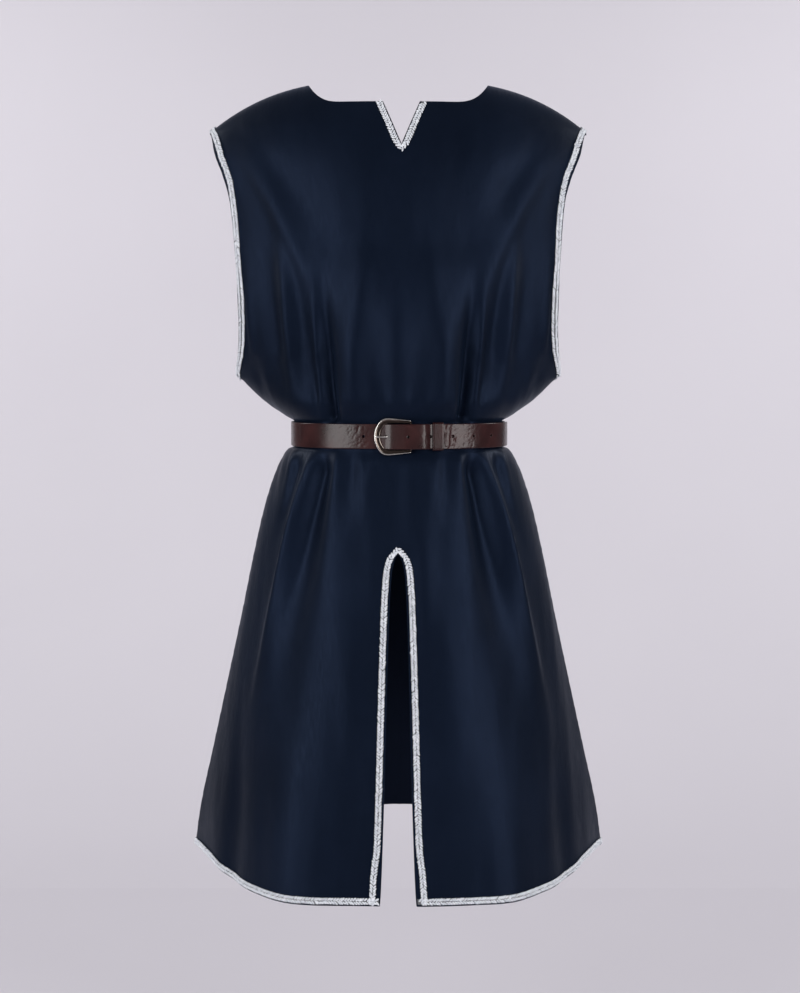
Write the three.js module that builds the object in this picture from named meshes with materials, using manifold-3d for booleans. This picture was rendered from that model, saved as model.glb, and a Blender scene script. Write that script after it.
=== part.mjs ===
// A sleeveless medieval tunic (a belted surcoat), worn and hollow: front and back panels,
// braid along every free edge but the neckline, and a leather belt fastened by a single-tongue buckle.
// Millimetres, +Z up, the front faces -Y, the wearer's left is at +X.
// The origin lies midway between the two points where the shoulder seams meet the neckline.
import * as THREE from "three";
import { mergeVertices } from "three/addons/utils/BufferGeometryUtils.js";
import Module from "manifold-3d";

// ---------------------------------------------------------------- driving sizes
const LENGTH = 974; // neck point down to the hem at centre front
const CLOTH = 1.6; // doubled satin, turned and pressed at its edges
const SEAM_HALF_GAP = 0.2; // each panel stops this far from the seam plane
const BRAID = { margin: 0.9, width: 7.8, lift: 0.5, thick: 1.5 };
const BRAID_REACH = BRAID.margin + BRAID.width;
const BELT = { width: 30, leather: 2, top: -414.5 };
const BELT_MID = BELT.top - BELT.width / 2;

const NECK_HALF = 111.6; // neck point from the centre line
const SHOULDER_HALF = 234; // end of the shoulder seam from the centre line
const CHEST_LEVEL = -190; // the shoulder arches spring from this level
const ARMHOLE_FOOT = -355; // the side seam starts here
// The V cut at the neck, whose middle is a little to one side. Its braid hangs below the tip.
const NOTCH = { tip: -85, top: -29.5, half: 22.8, shift: 4, braidDrop: 7 };
const SHIFT_START = -230; // below this level the middle of the front is on the centre line
const SLIT_TOP = -568; // head of the centre front slit

// Plan sections: half width, depth of the front and the back, how far the armhole edge stands forward
// and back of the seam plane, and the two exponents of the section curve (flat and fall).
const SECTIONS = [
  { z: -56, half: 234, front: 104, back: 96, edgeF: 52, edgeB: 50, flat: 2.1, fall: 1.0 },
  { z: -66, half: 229.2, front: 104, back: 96, edgeF: 52, edgeB: 50, flat: 2.1, fall: 1.0 },
  { z: -95, half: 222.0, front: 104, back: 96, edgeF: 52, edgeB: 50, flat: 2.1, fall: 1.0 },
  { z: -124, half: 211.4, front: 104, back: 96, edgeF: 52, edgeB: 50, flat: 2.1, fall: 1.0 },
  { z: -153, half: 204.0, front: 104, back: 96, edgeF: 52, edgeB: 50, flat: 2.1, fall: 1.0 },
  { z: -190, half: 199.6, front: 104, back: 96, edgeF: 52, edgeB: 50, flat: 2.1, fall: 1.0 },
  { z: -240, half: 196.8, front: 111, back: 101, edgeF: 50, edgeB: 48, flat: 2.1, fall: 1.0 },
  { z: -290, half: 196.8, front: 114, back: 102, edgeF: 41, edgeB: 40, flat: 2.1, fall: 1.0 },
  { z: -325, half: 199.4, front: 113, back: 101, edgeF: 27, edgeB: 26, flat: 2.1, fall: 1.0 },
  { z: -345, half: 203.0, front: 111, back: 99, edgeF: 12, edgeB: 12, flat: 2.1, fall: 0.95 },
  { z: -355, half: 204.6, front: 110, back: 98, edgeF: 0, edgeB: 0, flat: 2.1, fall: 0.9 },
  { z: -365, half: 195.0, front: 108, back: 97, edgeF: 0, edgeB: 0, flat: 2.15, fall: 0.82 },
  { z: -388, half: 170.4, front: 104, back: 96, edgeF: 0, edgeB: 0, flat: 2.3, fall: 0.62 },
  { z: -403, half: 149.0, front: 97.4, back: 94, edgeF: 0, edgeB: 0, flat: 2.45, fall: 0.5 },
  { z: -410, half: 137.6, front: 94.6, back: 92.5, edgeF: 0, edgeB: 0, flat: 2.5, fall: 0.46 },
  { z: -413, half: 131.7, front: 93.5, back: 90, edgeF: 0, edgeB: 0, flat: 2.5, fall: 0.45 },
  { z: -446, half: 131.7, front: 93.5, back: 90, edgeF: 0, edgeB: 0, flat: 2.5, fall: 0.45 },
  { z: -449, half: 139.5, front: 94.6, back: 94, edgeF: 0, edgeB: 0, flat: 2.5, fall: 0.46 },
  { z: -460, half: 147.2, front: 100.5, back: 98, edgeF: 0, edgeB: 0, flat: 2.5, fall: 0.48 },
  { z: -480, half: 156.6, front: 106, back: 103, edgeF: 0, edgeB: 0, flat: 2.55, fall: 0.56 },
  { z: -520, half: 169.7, front: 113, back: 112, edgeF: 0, edgeB: 0, flat: 2.62, fall: 0.62 },
  { z: -582, half: 184.6, front: 122, back: 124, edgeF: 0, edgeB: 0, flat: 2.75, fall: 0.7 },
  { z: -665, half: 202.2, front: 135, back: 138, edgeF: 0, edgeB: 0, flat: 2.9, fall: 0.78 },
  { z: -748, half: 220.7, front: 149, back: 151, edgeF: 0, edgeB: 0, flat: 3.05, fall: 0.86 },
  { z: -833, half: 239.8, front: 163, back: 164, edgeF: 0, edgeB: 0, flat: 3.2, fall: 0.92 },
  { z: -918, half: 258.6, front: 178, back: 178, edgeF: 0, edgeB: 0, flat: 3.3, fall: 0.97 },
  { z: -974, half: 266.4, front: 189, back: 187, edgeF: 0, edgeB: 0, flat: 3.4, fall: 1 },
];

// Half width of the slit at a distance below its head.
const SLIT = [
  { below: 0, half: 0 },
  { below: 3, half: 2.6 },
  { below: 9.5, half: 5.5 },
  { below: 23, half: 8.4 },
  { below: 60, half: 10.9 },
  { below: 170, half: 14.4 },
  { below: 291, half: 17.4 },
  { below: 388, half: 21.0 },
  { below: 406, half: 22.4 },
];

// How far the hem lifts along each half panel, from the centre line (0) to the side seam (1).
const HEM = {
  front: [
    { share: 0, rise: 0 },
    { share: 0.48, rise: 0 },
    { share: 0.62, rise: 1 },
    { share: 0.68, rise: 4 },
    { share: 0.77, rise: 10 },
    { share: 0.88, rise: 11 },
    { share: 1, rise: 8 },
  ],
  back: [
    { share: 0, rise: 0 },
    { share: 0.4, rise: 1 },
    { share: 0.8, rise: 6 },
    { share: 1, rise: 8 },
  ],
};

// Folds of the cloth, the same on both halves of a panel. Each runs from level `from` to level `to`,
// is deepest at level `peak`, goes from x0 to x1 across, and is spread0 to spread1 wide to each side.
// A depth below 0 is a trough and above 0 a ridge.
const FOLDS = {
  front: [
    { from: -262, peak: -405, to: -419, x0: 91, x1: 81, depth: -15, spread0: 13, spread1: 8 },
    { from: -240, peak: -385, to: -417, x0: 60, x1: 50, depth: 6, spread0: 24, spread1: 17 },
    { from: -230, peak: -375, to: -417, x0: 122, x1: 99, depth: -6, spread0: 12, spread1: 8 },
    { from: -150, peak: -310, to: -390, x0: 168, x1: 140, depth: -6, spread0: 16, spread1: 12 },
    { from: -60, peak: -170, to: -290, x0: 178, x1: 78, depth: 4, spread0: 16, spread1: 24 },
    { from: -250, peak: -370, to: -417, x0: 0, x1: 0, depth: -5, spread0: 22, spread1: 20 },
    { from: -441, peak: -478, to: -800, x0: 88, x1: 152, depth: -15, spread0: 9, spread1: 34 },
    { from: -441, peak: -560, to: -900, x0: 105, x1: 205, depth: 7, spread0: 9, spread1: 26 },
    { from: -441, peak: -470, to: -600, x0: 119, x1: 158, depth: -8, spread0: 8, spread1: 14 },
    { from: -441, peak: -465, to: -560, x0: 56, x1: 66, depth: -3.5, spread0: 9, spread1: 16 },
    { from: -720, peak: -960, to: -1200, x0: 190, x1: 224, depth: -6, spread0: 18, spread1: 26 },
    { from: -700, peak: -960, to: -1200, x0: 118, x1: 142, depth: 6, spread0: 26, spread1: 40 },
  ],
  back: [
    { from: -240, peak: -400, to: -419, x0: 34, x1: 24, depth: -11, spread0: 14, spread1: 8 },
    { from: -250, peak: -395, to: -419, x0: 82, x1: 66, depth: -9, spread0: 13, spread1: 8 },
    { from: -230, peak: -385, to: -419, x0: 132, x1: 104, depth: -9, spread0: 14, spread1: 8 },
    { from: -120, peak: -260, to: -380, x0: 150, x1: 165, depth: -5, spread0: 20, spread1: 14 },
    { from: -90, peak: -210, to: -330, x0: 0, x1: 0, depth: -4, spread0: 30, spread1: 26 },
    { from: -441, peak: -490, to: -860, x0: 32, x1: 62, depth: -12, spread0: 8, spread1: 26 },
    { from: -441, peak: -480, to: -760, x0: 74, x1: 118, depth: -10, spread0: 8, spread1: 26 },
    { from: -441, peak: -475, to: -700, x0: 112, x1: 168, depth: -9, spread0: 8, spread1: 20 },
    { from: -560, peak: -960, to: -1300, x0: 90, x1: 112, depth: 9, spread0: 20, spread1: 34 },
    { from: -560, peak: -960, to: -1300, x0: 10, x1: 0, depth: 8, spread0: 22, spread1: 36 },
    { from: -640, peak: -960, to: -1300, x0: 160, x1: 176, depth: -9, spread0: 18, spread1: 28 },
  ],
};

// ---------------------------------------------------------------- curves
const clamp = (v, low, high) => Math.min(high, Math.max(low, v));
const lerp = (a, b, t) => a + (b - a) * t;
const smooth = (t) => {
  const c = clamp(t, 0, 1);
  return c * c * (3 - 2 * c);
};

// Monotone cubic through the rows of a table: rows[i][at] rises or falls all the way.
function curve(rows, at, key) {
  const sorted = [...rows].sort((a, b) => a[at] - b[at]);
  const x = sorted.map((r) => r[at]);
  const y = sorted.map((r) => r[key]);
  const slope = x.slice(1).map((v, i) => (y[i + 1] - y[i]) / (v - x[i]));
  const tangent = x.map((_, i) => {
    if (i === 0) return slope[0];
    if (i === x.length - 1) return slope[i - 1];
    const [a, b] = [slope[i - 1], slope[i]];
    return a * b <= 0 ? 0 : (2 * a * b) / (a + b);
  });
  return (v) => {
    const c = clamp(v, x[0], x[x.length - 1]);
    let i = 0;
    while (i < x.length - 2 && c > x[i + 1]) i++;
    const h = x[i + 1] - x[i];
    const t = (c - x[i]) / h;
    const [t2, t3] = [t * t, t * t * t];
    return (
      y[i] * (2 * t3 - 3 * t2 + 1) +
      tangent[i] * h * (t3 - 2 * t2 + t) +
      y[i + 1] * (3 * t2 - 2 * t3) +
      tangent[i + 1] * h * (t3 - t2)
    );
  };
}

const column = (key) => curve(SECTIONS, "z", key);
const halfAt = column("half");
const flatAt = column("flat");
const fallAt = column("fall");
const depthAt = { front: column("front"), back: column("back") };
const edgeAt = { front: column("edgeF"), back: column("edgeB") };
const slitAt = curve(SLIT, "below", "half");
const hemRise = { front: curve(HEM.front, "share", "rise"), back: curve(HEM.back, "share", "rise") };

// Top of the shoulders across the body, as if it ran on over the neck.
const SHOULDER_FALL = 5e-6;
const shoulderTop = (x) => SHOULDER_FALL * (NECK_HALF ** 3 - Math.abs(x) ** 3);

// Neckline level at x: the front is a shallow boat neck and the back a deeper scoop.
const NECKLINE = { front: { drop: 30, flatTo: 62, power: 3.4 }, back: { drop: 70, flatTo: 0, power: 2.6 } };
function neckline(side, x) {
  const { drop, flatTo, power } = NECKLINE[side];
  const t = clamp((Math.abs(x) - flatTo) / (NECK_HALF - flatTo), 0, 1);
  return -drop * (1 - t ** power);
}

// Depth of a section at `across` (0 at the centre line, 1 at the side).
function sectionDepth(side, z, across) {
  const edge = edgeAt[side](z);
  const bulge = Math.max(0, 1 - across ** flatAt(z)) ** fallAt(z);
  return edge + (depthAt[side](z) - edge) * bulge;
}

// A section as a table of distances along the cloth from the centre line.
const SECTION_STEPS = 120;
function arcTable(side, z) {
  const half = halfAt(z);
  const across = [];
  const along = [0];
  for (let i = 0; i <= SECTION_STEPS; i++) across.push(Math.sin((i / SECTION_STEPS) * (Math.PI / 2)));
  for (let i = 1; i <= SECTION_STEPS; i++) {
    const rise = sectionDepth(side, z, across[i]) - sectionDepth(side, z, across[i - 1]);
    along.push(along[i - 1] + Math.hypot(half * (across[i] - across[i - 1]), rise));
  }
  const look = (from, to, v) => {
    let i = 1;
    while (i < SECTION_STEPS && from[i] < v) i++;
    return lerp(to[i - 1], to[i], clamp((v - from[i - 1]) / (from[i] - from[i - 1]), 0, 1));
  };
  return {
    half,
    length: along[SECTION_STEPS],
    acrossAt: (s) => look(along, across, s),
    alongAt: (x) => look(across, along, clamp(Math.abs(x) / half, 0, 1)),
  };
}

// How far the folds move the cloth out at a distance along a section. The folds die out at the side
// seams, so that the two panels meet.
const SIDE_CALM = 26;
function foldDepth(side, z, arc, along) {
  let sum = 0;
  for (const f of FOLDS[side]) {
    if (z > f.from || z < f.to) continue;
    const rise = smooth((f.from - z) / (f.from - f.peak));
    const fade = 1 - smooth((f.peak - z) / (f.peak - f.to));
    const t = (f.from - z) / (f.from - f.to);
    const off = (along - arc.alongAt(lerp(f.x0, f.x1, t))) / lerp(f.spread0, f.spread1, t);
    sum += f.depth * Math.min(rise, fade) * Math.exp(-off * off);
  }
  return z > ARMHOLE_FOOT ? sum : sum * smooth((arc.length - along) / SIDE_CALM);
}

// A point of the cloth's outer face. `sign` is 1 at +X and -1 at -X.
const outward = (side) => (side === "front" ? -1 : 1);
function clothPoint(side, sign, x, depth, z, push, lean) {
  return new THREE.Vector3(
    sign * (x + push * Math.sin(lean)),
    outward(side) * (depth + SEAM_HALF_GAP + push * Math.cos(lean)),
    z,
  );
}

// ---------------------------------------------------------------- panels
// Rows of a panel from the hem up. The lower rows are level; the rows above CHEST_LEVEL climb the
// arches over the shoulders.
const SKIRT_ROWS = 13;
const ROW_POWER = 1.55;
const MIDDLE_LEVELS = [
  -561, -542, -512, -482, -462, -451, -446, -430, -413, -408,
  -402, -389, -376, -364, -355, -340, -315, -285, -250, -220,
];
const ARCH_ROWS = 9;
const NOTCH_ROW = 5; // the notch's tip is on this row of the arches
const ARCH_POWER = 2.2; // 2 would make each arch over the shoulder an ellipse

const skirtSpan = LENGTH + SLIT_TOP;
const HEM_BAND = BRAID_REACH / skirtSpan;
// How far down from the slit's head to the hem a row lies. Row 0 is the hem and row 1 the top of its braid.
function skirtShare(row) {
  if (row === 0) return 1;
  const down = (SKIRT_ROWS - row) / (SKIRT_ROWS - 1);
  return (1 - HEM_BAND) * down ** ROW_POWER;
}

const FRONT = { side: "front", columns: 16, neckColumn: 7 };
const BACK = { side: "back", columns: 13, neckColumn: 6 };

// Half width of the opening at the centre line of the front, and where its middle lies.
const notchHalf = (z) => NOTCH.half * clamp((z - NOTCH.tip) / (NOTCH.top - NOTCH.tip), 0, 1);
const middleShift = (z) => NOTCH.shift * smooth((z - SHIFT_START) / (NOTCH.tip - SHIFT_START));
function innerEdge(side, sign, z) {
  if (side === "back") return 0;
  if (z < SLIT_TOP) return slitAt(SLIT_TOP - z);
  return sign * middleShift(z) + notchHalf(z);
}

// Distance of column k along a section, with one column a braid's reach from either edge.
function columnDistance(k, columns, start, length) {
  if (k === 0) return start;
  if (k === columns) return length;
  return lerp(start + BRAID_REACH, length - BRAID_REACH, (k - 1) / (columns - 2));
}

function levelPoint(panel, sign, z, k) {
  const { side, columns } = panel;
  const arc = arcTable(side, z);
  const inner = innerEdge(side, sign, z);
  const start = Math.sign(inner) * arc.alongAt(inner);
  const along = columnDistance(k, columns, start, arc.length);
  const across = along < 0 ? along / arc.half : arc.acrossAt(along);
  const depth = sectionDepth(side, z, Math.abs(across));
  const push = foldDepth(side, z, arc, Math.abs(along));
  const lean = Math.asin(clamp(across, -1, 1));
  return clothPoint(side, sign, across * arc.half, depth, z, push, lean);
}

// The share of an arch's quarter turn at which it reaches a level.
function archTurn(x, z) {
  const height = clamp((z - CHEST_LEVEL) / (shoulderTop(x) - CHEST_LEVEL), 0, 1);
  return Math.asin(height ** (ARCH_POWER / 2)) / (Math.PI / 2);
}
const archHeight = (turn) => Math.sin(turn * (Math.PI / 2)) ** (2 / ARCH_POWER);
const archLevel = (x, height) => lerp(CHEST_LEVEL, shoulderTop(x), height);

// Where column k meets the neckline or the shoulder seam. The columns crowd together at the neck
// point, where the neckline turns back along the body.
function topAcross(panel, sign, k) {
  const { side, columns, neckColumn } = panel;
  const inner = side === "front" ? NOTCH.half + sign * NOTCH.shift : 0;
  if (k === 0) return inner;
  if (k === columns) return SHOULDER_HALF;
  if (k <= neckColumn) {
    const t = (k - 1) / (neckColumn - 1);
    return lerp(inner + BRAID_REACH, NECK_HALF, 1 - (1 - t) ** 2);
  }
  return lerp(NECK_HALF, SHOULDER_HALF - BRAID_REACH, (k - neckColumn) / (columns - 1 - neckColumn));
}

// Depth of the cloth above CHEST_LEVEL, where it closes in to the shoulder seam.
function archDepth(side, x, z) {
  const across = clamp(x / halfAt(z), -1, 1);
  const height = clamp((z - CHEST_LEVEL) / (shoulderTop(x) - CHEST_LEVEL), 0, 1);
  return sectionDepth(side, CHEST_LEVEL, Math.abs(across)) * (1 - height ** ARCH_POWER) ** (1 / ARCH_POWER);
}

// How far up its arch (0 to 1) a row reaches at column k. Near the centre of the front the rows keep
// to the notch's tip, and elsewhere they are even.
const NOTCH_TURN = archTurn(NOTCH.half, NOTCH.top);
const TIP_SHARE = archTurn(0, NOTCH.tip) / NOTCH_TURN;
const UNDER_TIP_SHARE = archTurn(0, NOTCH.tip - NOTCH.braidDrop) / NOTCH_TURN;
function archShare(panel, row, topX) {
  const even = row / ARCH_ROWS;
  if (panel.side === "back") return even;
  const byNotch =
    row < NOTCH_ROW
      ? (row / (NOTCH_ROW - 1)) * UNDER_TIP_SHARE
      : lerp(TIP_SHARE, 1, (row - NOTCH_ROW) / (ARCH_ROWS - NOTCH_ROW));
  return lerp(byNotch, even, smooth(topX / NECK_HALF));
}

function archPoint(panel, sign, row, k) {
  const { side, columns, neckColumn } = panel;
  const chest = arcTable(side, CHEST_LEVEL);
  const topX = topAcross(panel, sign, k);
  const topTurn = k < neckColumn ? archTurn(topX, neckline(side, topX)) : 1;
  const height = archHeight(archShare(panel, row, topX) * topTurn);

  const bottomInner = innerEdge(side, sign, CHEST_LEVEL);
  const bottomStart = Math.sign(bottomInner) * chest.alongAt(bottomInner);
  const bottom = columnDistance(k, columns, bottomStart, chest.length);
  const bottomAcross = bottom < 0 ? bottom / chest.half : chest.acrossAt(bottom);
  const across = lerp(bottomAcross, topX / SHOULDER_HALF, smooth(row / ARCH_ROWS));
  let x = across * halfAt(archLevel(topX, height));
  if (k < 2 && side === "front") x = innerEdge(side, sign, archLevel(NOTCH.half, height)) + k * BRAID_REACH;
  const z = archLevel(x, height);
  const along = chest.alongAt(clamp(x / halfAt(z), -1, 1) * chest.half);
  const upright = (1 - height ** ARCH_POWER) ** (1 / ARCH_POWER);
  const push = foldDepth(side, z, chest, along) * upright;
  return clothPoint(side, sign, x, archDepth(side, x, z), z, push, Math.asin(clamp(across, -1, 1)));
}

const MIDDLE_ROWS = MIDDLE_LEVELS.length;
const HEAD_ROW = SKIRT_ROWS; // the slit's head
const CHEST_ROW = HEAD_ROW + MIDDLE_ROWS + 1;
const TOP_ROW = CHEST_ROW + ARCH_ROWS;
const FOOT_ROW = HEAD_ROW + 1 + MIDDLE_LEVELS.indexOf(ARMHOLE_FOOT);
const TIP_ROW = CHEST_ROW + NOTCH_ROW;

function panelPoint(panel, sign, row, k) {
  if (row > CHEST_ROW) return archPoint(panel, sign, row - CHEST_ROW, k);
  let z = CHEST_LEVEL;
  if (row <= HEAD_ROW) {
    const hem = hemRise[panel.side](k / panel.columns) - LENGTH;
    z = lerp(SLIT_TOP, hem, skirtShare(row));
  } else if (row < CHEST_ROW) z = MIDDLE_LEVELS[row - HEAD_ROW - 1];
  return levelPoint(panel, sign, z, k);
}

// The outer face of a panel: numbered points and triangles. The two halves share their centre
// column wherever the front has no slit and no notch.
function panelFace(panel) {
  const face = { points: [], triangles: [], number: new Map() };
  const open = (row) => panel.side === "front" && (row < HEAD_ROW || row > TIP_ROW);
  for (const sign of [-1, 1])
    for (let row = 0; row <= TOP_ROW; row++)
      for (let k = 0; k <= panel.columns; k++) {
        const key = `${sign},${row},${k}`;
        if (k === 0 && sign === 1 && !open(row)) {
          face.number.set(key, face.number.get(`-1,${row},0`));
          continue;
        }
        face.number.set(key, face.points.length);
        face.points.push(panelPoint(panel, sign, row, k));
      }
  face.cell = (sign, row, k) => {
    const [a, b, c, d] = [[row, k], [row, k + 1], [row + 1, k + 1], [row + 1, k]].map(([r, c]) =>
      face.number.get(`${sign},${r},${c}`),
    );
    const turned = (sign === 1) === (panel.side === "front");
    return turned ? [[a, b, c], [a, c, d]] : [[a, c, b], [a, d, c]];
  };
  for (const sign of [-1, 1])
    for (let row = 0; row < TOP_ROW; row++)
      for (let k = 0; k < panel.columns; k++) face.triangles.push(...face.cell(sign, row, k));
  face.normals = faceNormals(face.points, face.triangles);
  for (const sign of [-1, 1]) {
    for (let row = 0; row <= FOOT_ROW; row++) levelNormal(face, `${sign},${row},${panel.columns}`);
    for (let k = panel.neckColumn; k <= panel.columns; k++) levelNormal(face, `${sign},${TOP_ROW},${k}`);
  }
  return face;
}

// Normals at a seam lie in the seam's plane, so that neither panel crosses it.
function levelNormal(face, key) {
  face.normals[face.number.get(key)].setY(0).normalize();
}

function faceNormals(points, triangles) {
  const geometry = new THREE.BufferGeometry().setFromPoints(points);
  geometry.setIndex(triangles.flat());
  geometry.computeVertexNormals();
  const n = geometry.getAttribute("normal");
  return points.map((_, i) => new THREE.Vector3().fromBufferAttribute(n, i));
}

// A closed wall between two sheets of points that share their triangles.
function wallGeometry(outer, inner, triangles) {
  const used = new Set();
  for (const [a, b, c] of triangles) for (const e of [[a, b], [b, c], [c, a]]) used.add(e.join());
  const shift = outer.length;
  const index = [];
  for (const [a, b, c] of triangles) {
    index.push(a, b, c, a + shift, c + shift, b + shift);
    for (const [p, q] of [[a, b], [b, c], [c, a]])
      if (!used.has(`${q},${p}`)) index.push(q, p, p + shift, q, p + shift, q + shift);
  }
  const geometry = new THREE.BufferGeometry().setFromPoints([...outer, ...inner]);
  geometry.setIndex(index);
  geometry.computeVertexNormals();
  return geometry;
}

const moved = (points, normals, by) => points.map((p, i) => p.clone().addScaledVector(normals[i], by));

// ---------------------------------------------------------------- braid
// A strip of braid on part of one or both panels. `rows` names the cells that it covers.
function braidGeometry(faces, cells) {
  const points = [];
  const normals = [];
  const known = new Map();
  const corner = ({ face, number, edge, seam }) => {
    const key = seam ?? `${faces.indexOf(face)}:${number}`;
    if (!known.has(key)) {
      known.set(key, points.length);
      const at = face.points[number].clone();
      if (edge !== undefined) at.lerp(face.points[edge], BRAID.margin / BRAID_REACH);
      if (seam) at.y = 0;
      points.push(at);
      normals.push(face.normals[number].clone());
    }
    return known.get(key);
  };
  const triangles = cells.map((t) => t.map(corner));
  return wallGeometry(
    moved(points, normals, BRAID.lift + BRAID.thick),
    moved(points, normals, BRAID.lift),
    triangles,
  );
}

// Triangles of a panel's cells for the braid. A corner on a free edge steps in by the margin, and
// one on a seam is shared with the other panel.
function braidCells(face, panel, sign, list, inward) {
  const name = (number) => {
    for (const [key, value] of face.number) if (value === number && key.startsWith(`${sign},`)) return key;
    throw new Error("a braid corner isn't on its half of the panel");
  };
  return list.flatMap(([row, k]) =>
    face.cell(sign, row, k).map((triangle) =>
      triangle.map((number) => {
        const [, r, c] = name(number).split(",").map(Number);
        const edge = inward(r, c);
        const onSeam = (c === panel.columns && r <= FOOT_ROW) || (r === TOP_ROW && c >= panel.neckColumn);
        return {
          face,
          number,
          edge: edge && face.number.get(`${sign},${edge.join()}`),
          seam: onSeam ? `${sign} ${r} ${panel.columns - c}` : undefined,
        };
      }),
    ),
  );
}

const span = (from, to) => Array.from({ length: to - from }, (_, i) => from + i);

function hemAndSlitBraid(front, back) {
  const cells = [];
  for (const sign of [-1, 1]) {
    const n = FRONT.columns;
    const hem = span(0, n).map((k) => [0, k]);
    const slit = span(1, HEAD_ROW).map((row) => [row, 0]);
    const step = (r, c) => {
      if (r === 0 && c === 0) return [1, 1];
      if (r === 0) return [1, c];
      return c === 0 && r < HEAD_ROW ? [r, 1] : undefined;
    };
    cells.push(...braidCells(front, FRONT, sign, [...hem, ...slit], step));
    const backHem = span(0, BACK.columns).map((k) => [0, k]);
    const up = (r, c) => (r === 0 ? [1, c] : undefined);
    cells.push(...braidCells(back, BACK, sign, backHem, up));
    cells.push(headTriangle(front, sign));
  }
  return braidGeometry([front, back], cells);
}

// The braid turns over the head of the slit: one triangle on each half closes the arch.
function headTriangle(face, sign) {
  const number = (row, k) => face.number.get(`${sign},${row},${k}`);
  const corners = [number(HEAD_ROW, 0), number(HEAD_ROW, 1), number(HEAD_ROW + 1, 0)];
  if (sign === -1) corners.reverse();
  return corners.map((n) => ({ face, number: n }));
}

function notchBraid(front) {
  const cells = [-1, 1].flatMap((sign) =>
    braidCells(front, FRONT, sign, span(TIP_ROW, TOP_ROW).map((row) => [row, 0]), (r, c) =>
      c === 0 && r > TIP_ROW ? [r, 1] : undefined,
    ),
  );
  for (const sign of [-1, 1]) {
    const number = (row, k) => front.number.get(`${sign},${row},${k}`);
    const corners = [number(TIP_ROW, 0), number(TIP_ROW - 1, 0), number(TIP_ROW, 1)];
    if (sign === -1) corners.reverse();
    cells.push(corners.map((n) => ({ face: front, number: n })));
  }
  return braidGeometry([front], cells);
}

function armholeBraid(front, back, sign) {
  const cells = [];
  for (const [face, panel] of [[front, FRONT], [back, BACK]]) {
    const n = panel.columns;
    const list = span(FOOT_ROW - 1, TOP_ROW).map((row) => [row, n - 1]);
    const step = (r, c) => {
      if (c !== n || r < FOOT_ROW) return undefined;
      return r === FOOT_ROW ? [r - 1, n] : [r, n - 1];
    };
    cells.push(...braidCells(face, panel, sign, list, step));
  }
  return braidGeometry([front, back], cells);
}

// ---------------------------------------------------------------- belt
// Distance along the belt line runs from the centre front towards +X; `out` is measured from the cloth.
function beltLine() {
  const steps = 48;
  const quarter = (side) => {
    const arc = arcTable(side, BELT_MID);
    return span(0, steps).map((i) => {
      const across = arc.acrossAt((arc.length * i) / steps);
      return [across * arc.half, sectionDepth(side, BELT_MID, across)];
    });
  };
  const [front, back] = [quarter("front"), quarter("back")];
  const half = [
    ...front.map(([x, d]) => new THREE.Vector2(x, -d)),
    new THREE.Vector2(halfAt(BELT_MID), 0),
    ...back.slice(1).reverse().map(([x, d]) => new THREE.Vector2(x, d)),
    new THREE.Vector2(0, back[0][1]),
  ];
  const loop = [...half, ...half.slice(1, -1).reverse().map((p) => new THREE.Vector2(-p.x, p.y))];
  const along = [0];
  for (let i = 1; i <= loop.length; i++)
    along.push(along[i - 1] + loop[i % loop.length].distanceTo(loop[i - 1]));
  const total = along[loop.length];
  return {
    total,
    at(s, out) {
      const v = ((s % total) + total) % total;
      let i = 1;
      while (along[i] < v) i++;
      const [a, b] = [loop[i - 1], loop[i % loop.length]];
      const t = (v - along[i - 1]) / (along[i] - along[i - 1]);
      const before = loop[(i - 2 + loop.length) % loop.length];
      const after = loop[(i + 1) % loop.length];
      const run = b.clone().sub(before).normalize().lerp(after.clone().sub(a).normalize(), t).normalize();
      return a.clone().lerp(b, t).add(new THREE.Vector2(run.y, -run.x).multiplyScalar(out));
    },
  };
}
const belt = beltLine();

const LAYER = BELT.leather + 0.35;
const LAYER_1 = 2 + BELT.leather / 2;
const LAYER_2 = LAYER_1 + LAYER;
const LAYER_3 = LAYER_2 + LAYER;
const BAR = { s: 15.3, radius: 1.3, play: 0.65 };
const CURL = BAR.radius + BAR.play + BELT.leather / 2;
const BAR_OUT = LAYER_1 + CURL;
const OVER_BAR = LAYER_1 + 2 * CURL;
const FOLD_END = 30; // tip of the end that folds back over the bar
// Holes: the first one, their pitch, and how far the cutter reaches past each face.
const HOLE = { first: -41.3, pitch: 26.5, count: 7, radius: 1.75, past: 0.4, sides: 10 };
const FREE_END = 193; // tip of the free end, round the +X side

// Height of the free end over the cloth as it passes over the bar, the fold and then the strap.
const freeOut = curve(
  [
    { s: -14, out: LAYER_1 },
    { s: -12, out: LAYER_1 + 0.3 },
    { s: -5, out: LAYER_1 + 3.7 },
    { s: 3, out: OVER_BAR + LAYER - 1.2 },
    { s: 9, out: OVER_BAR + LAYER },
    { s: 17, out: OVER_BAR + LAYER },
    { s: 28, out: LAYER_3 },
    { s: 31, out: LAYER_3 },
    { s: 39, out: LAYER_2 },
    { s: FREE_END, out: LAYER_2 },
  ],
  "s",
  "out",
);

// How far apart the points of the strap's centre line are, where it bends and where it lies flat.
const PATH_STEP = { bend: 3, flat: 7 };
const CURL_STEPS = 8;
// Where the first round ends, the second one starts, and its bends over the bar and the fold are over.
const PATH_MARKS = { roundEnd: -16, freeStart: -14, bendsEnd: 43, flatStart: 50 };
const FOLD_SETTLES = 12; // the folded end comes down onto the strap over this distance

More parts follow.
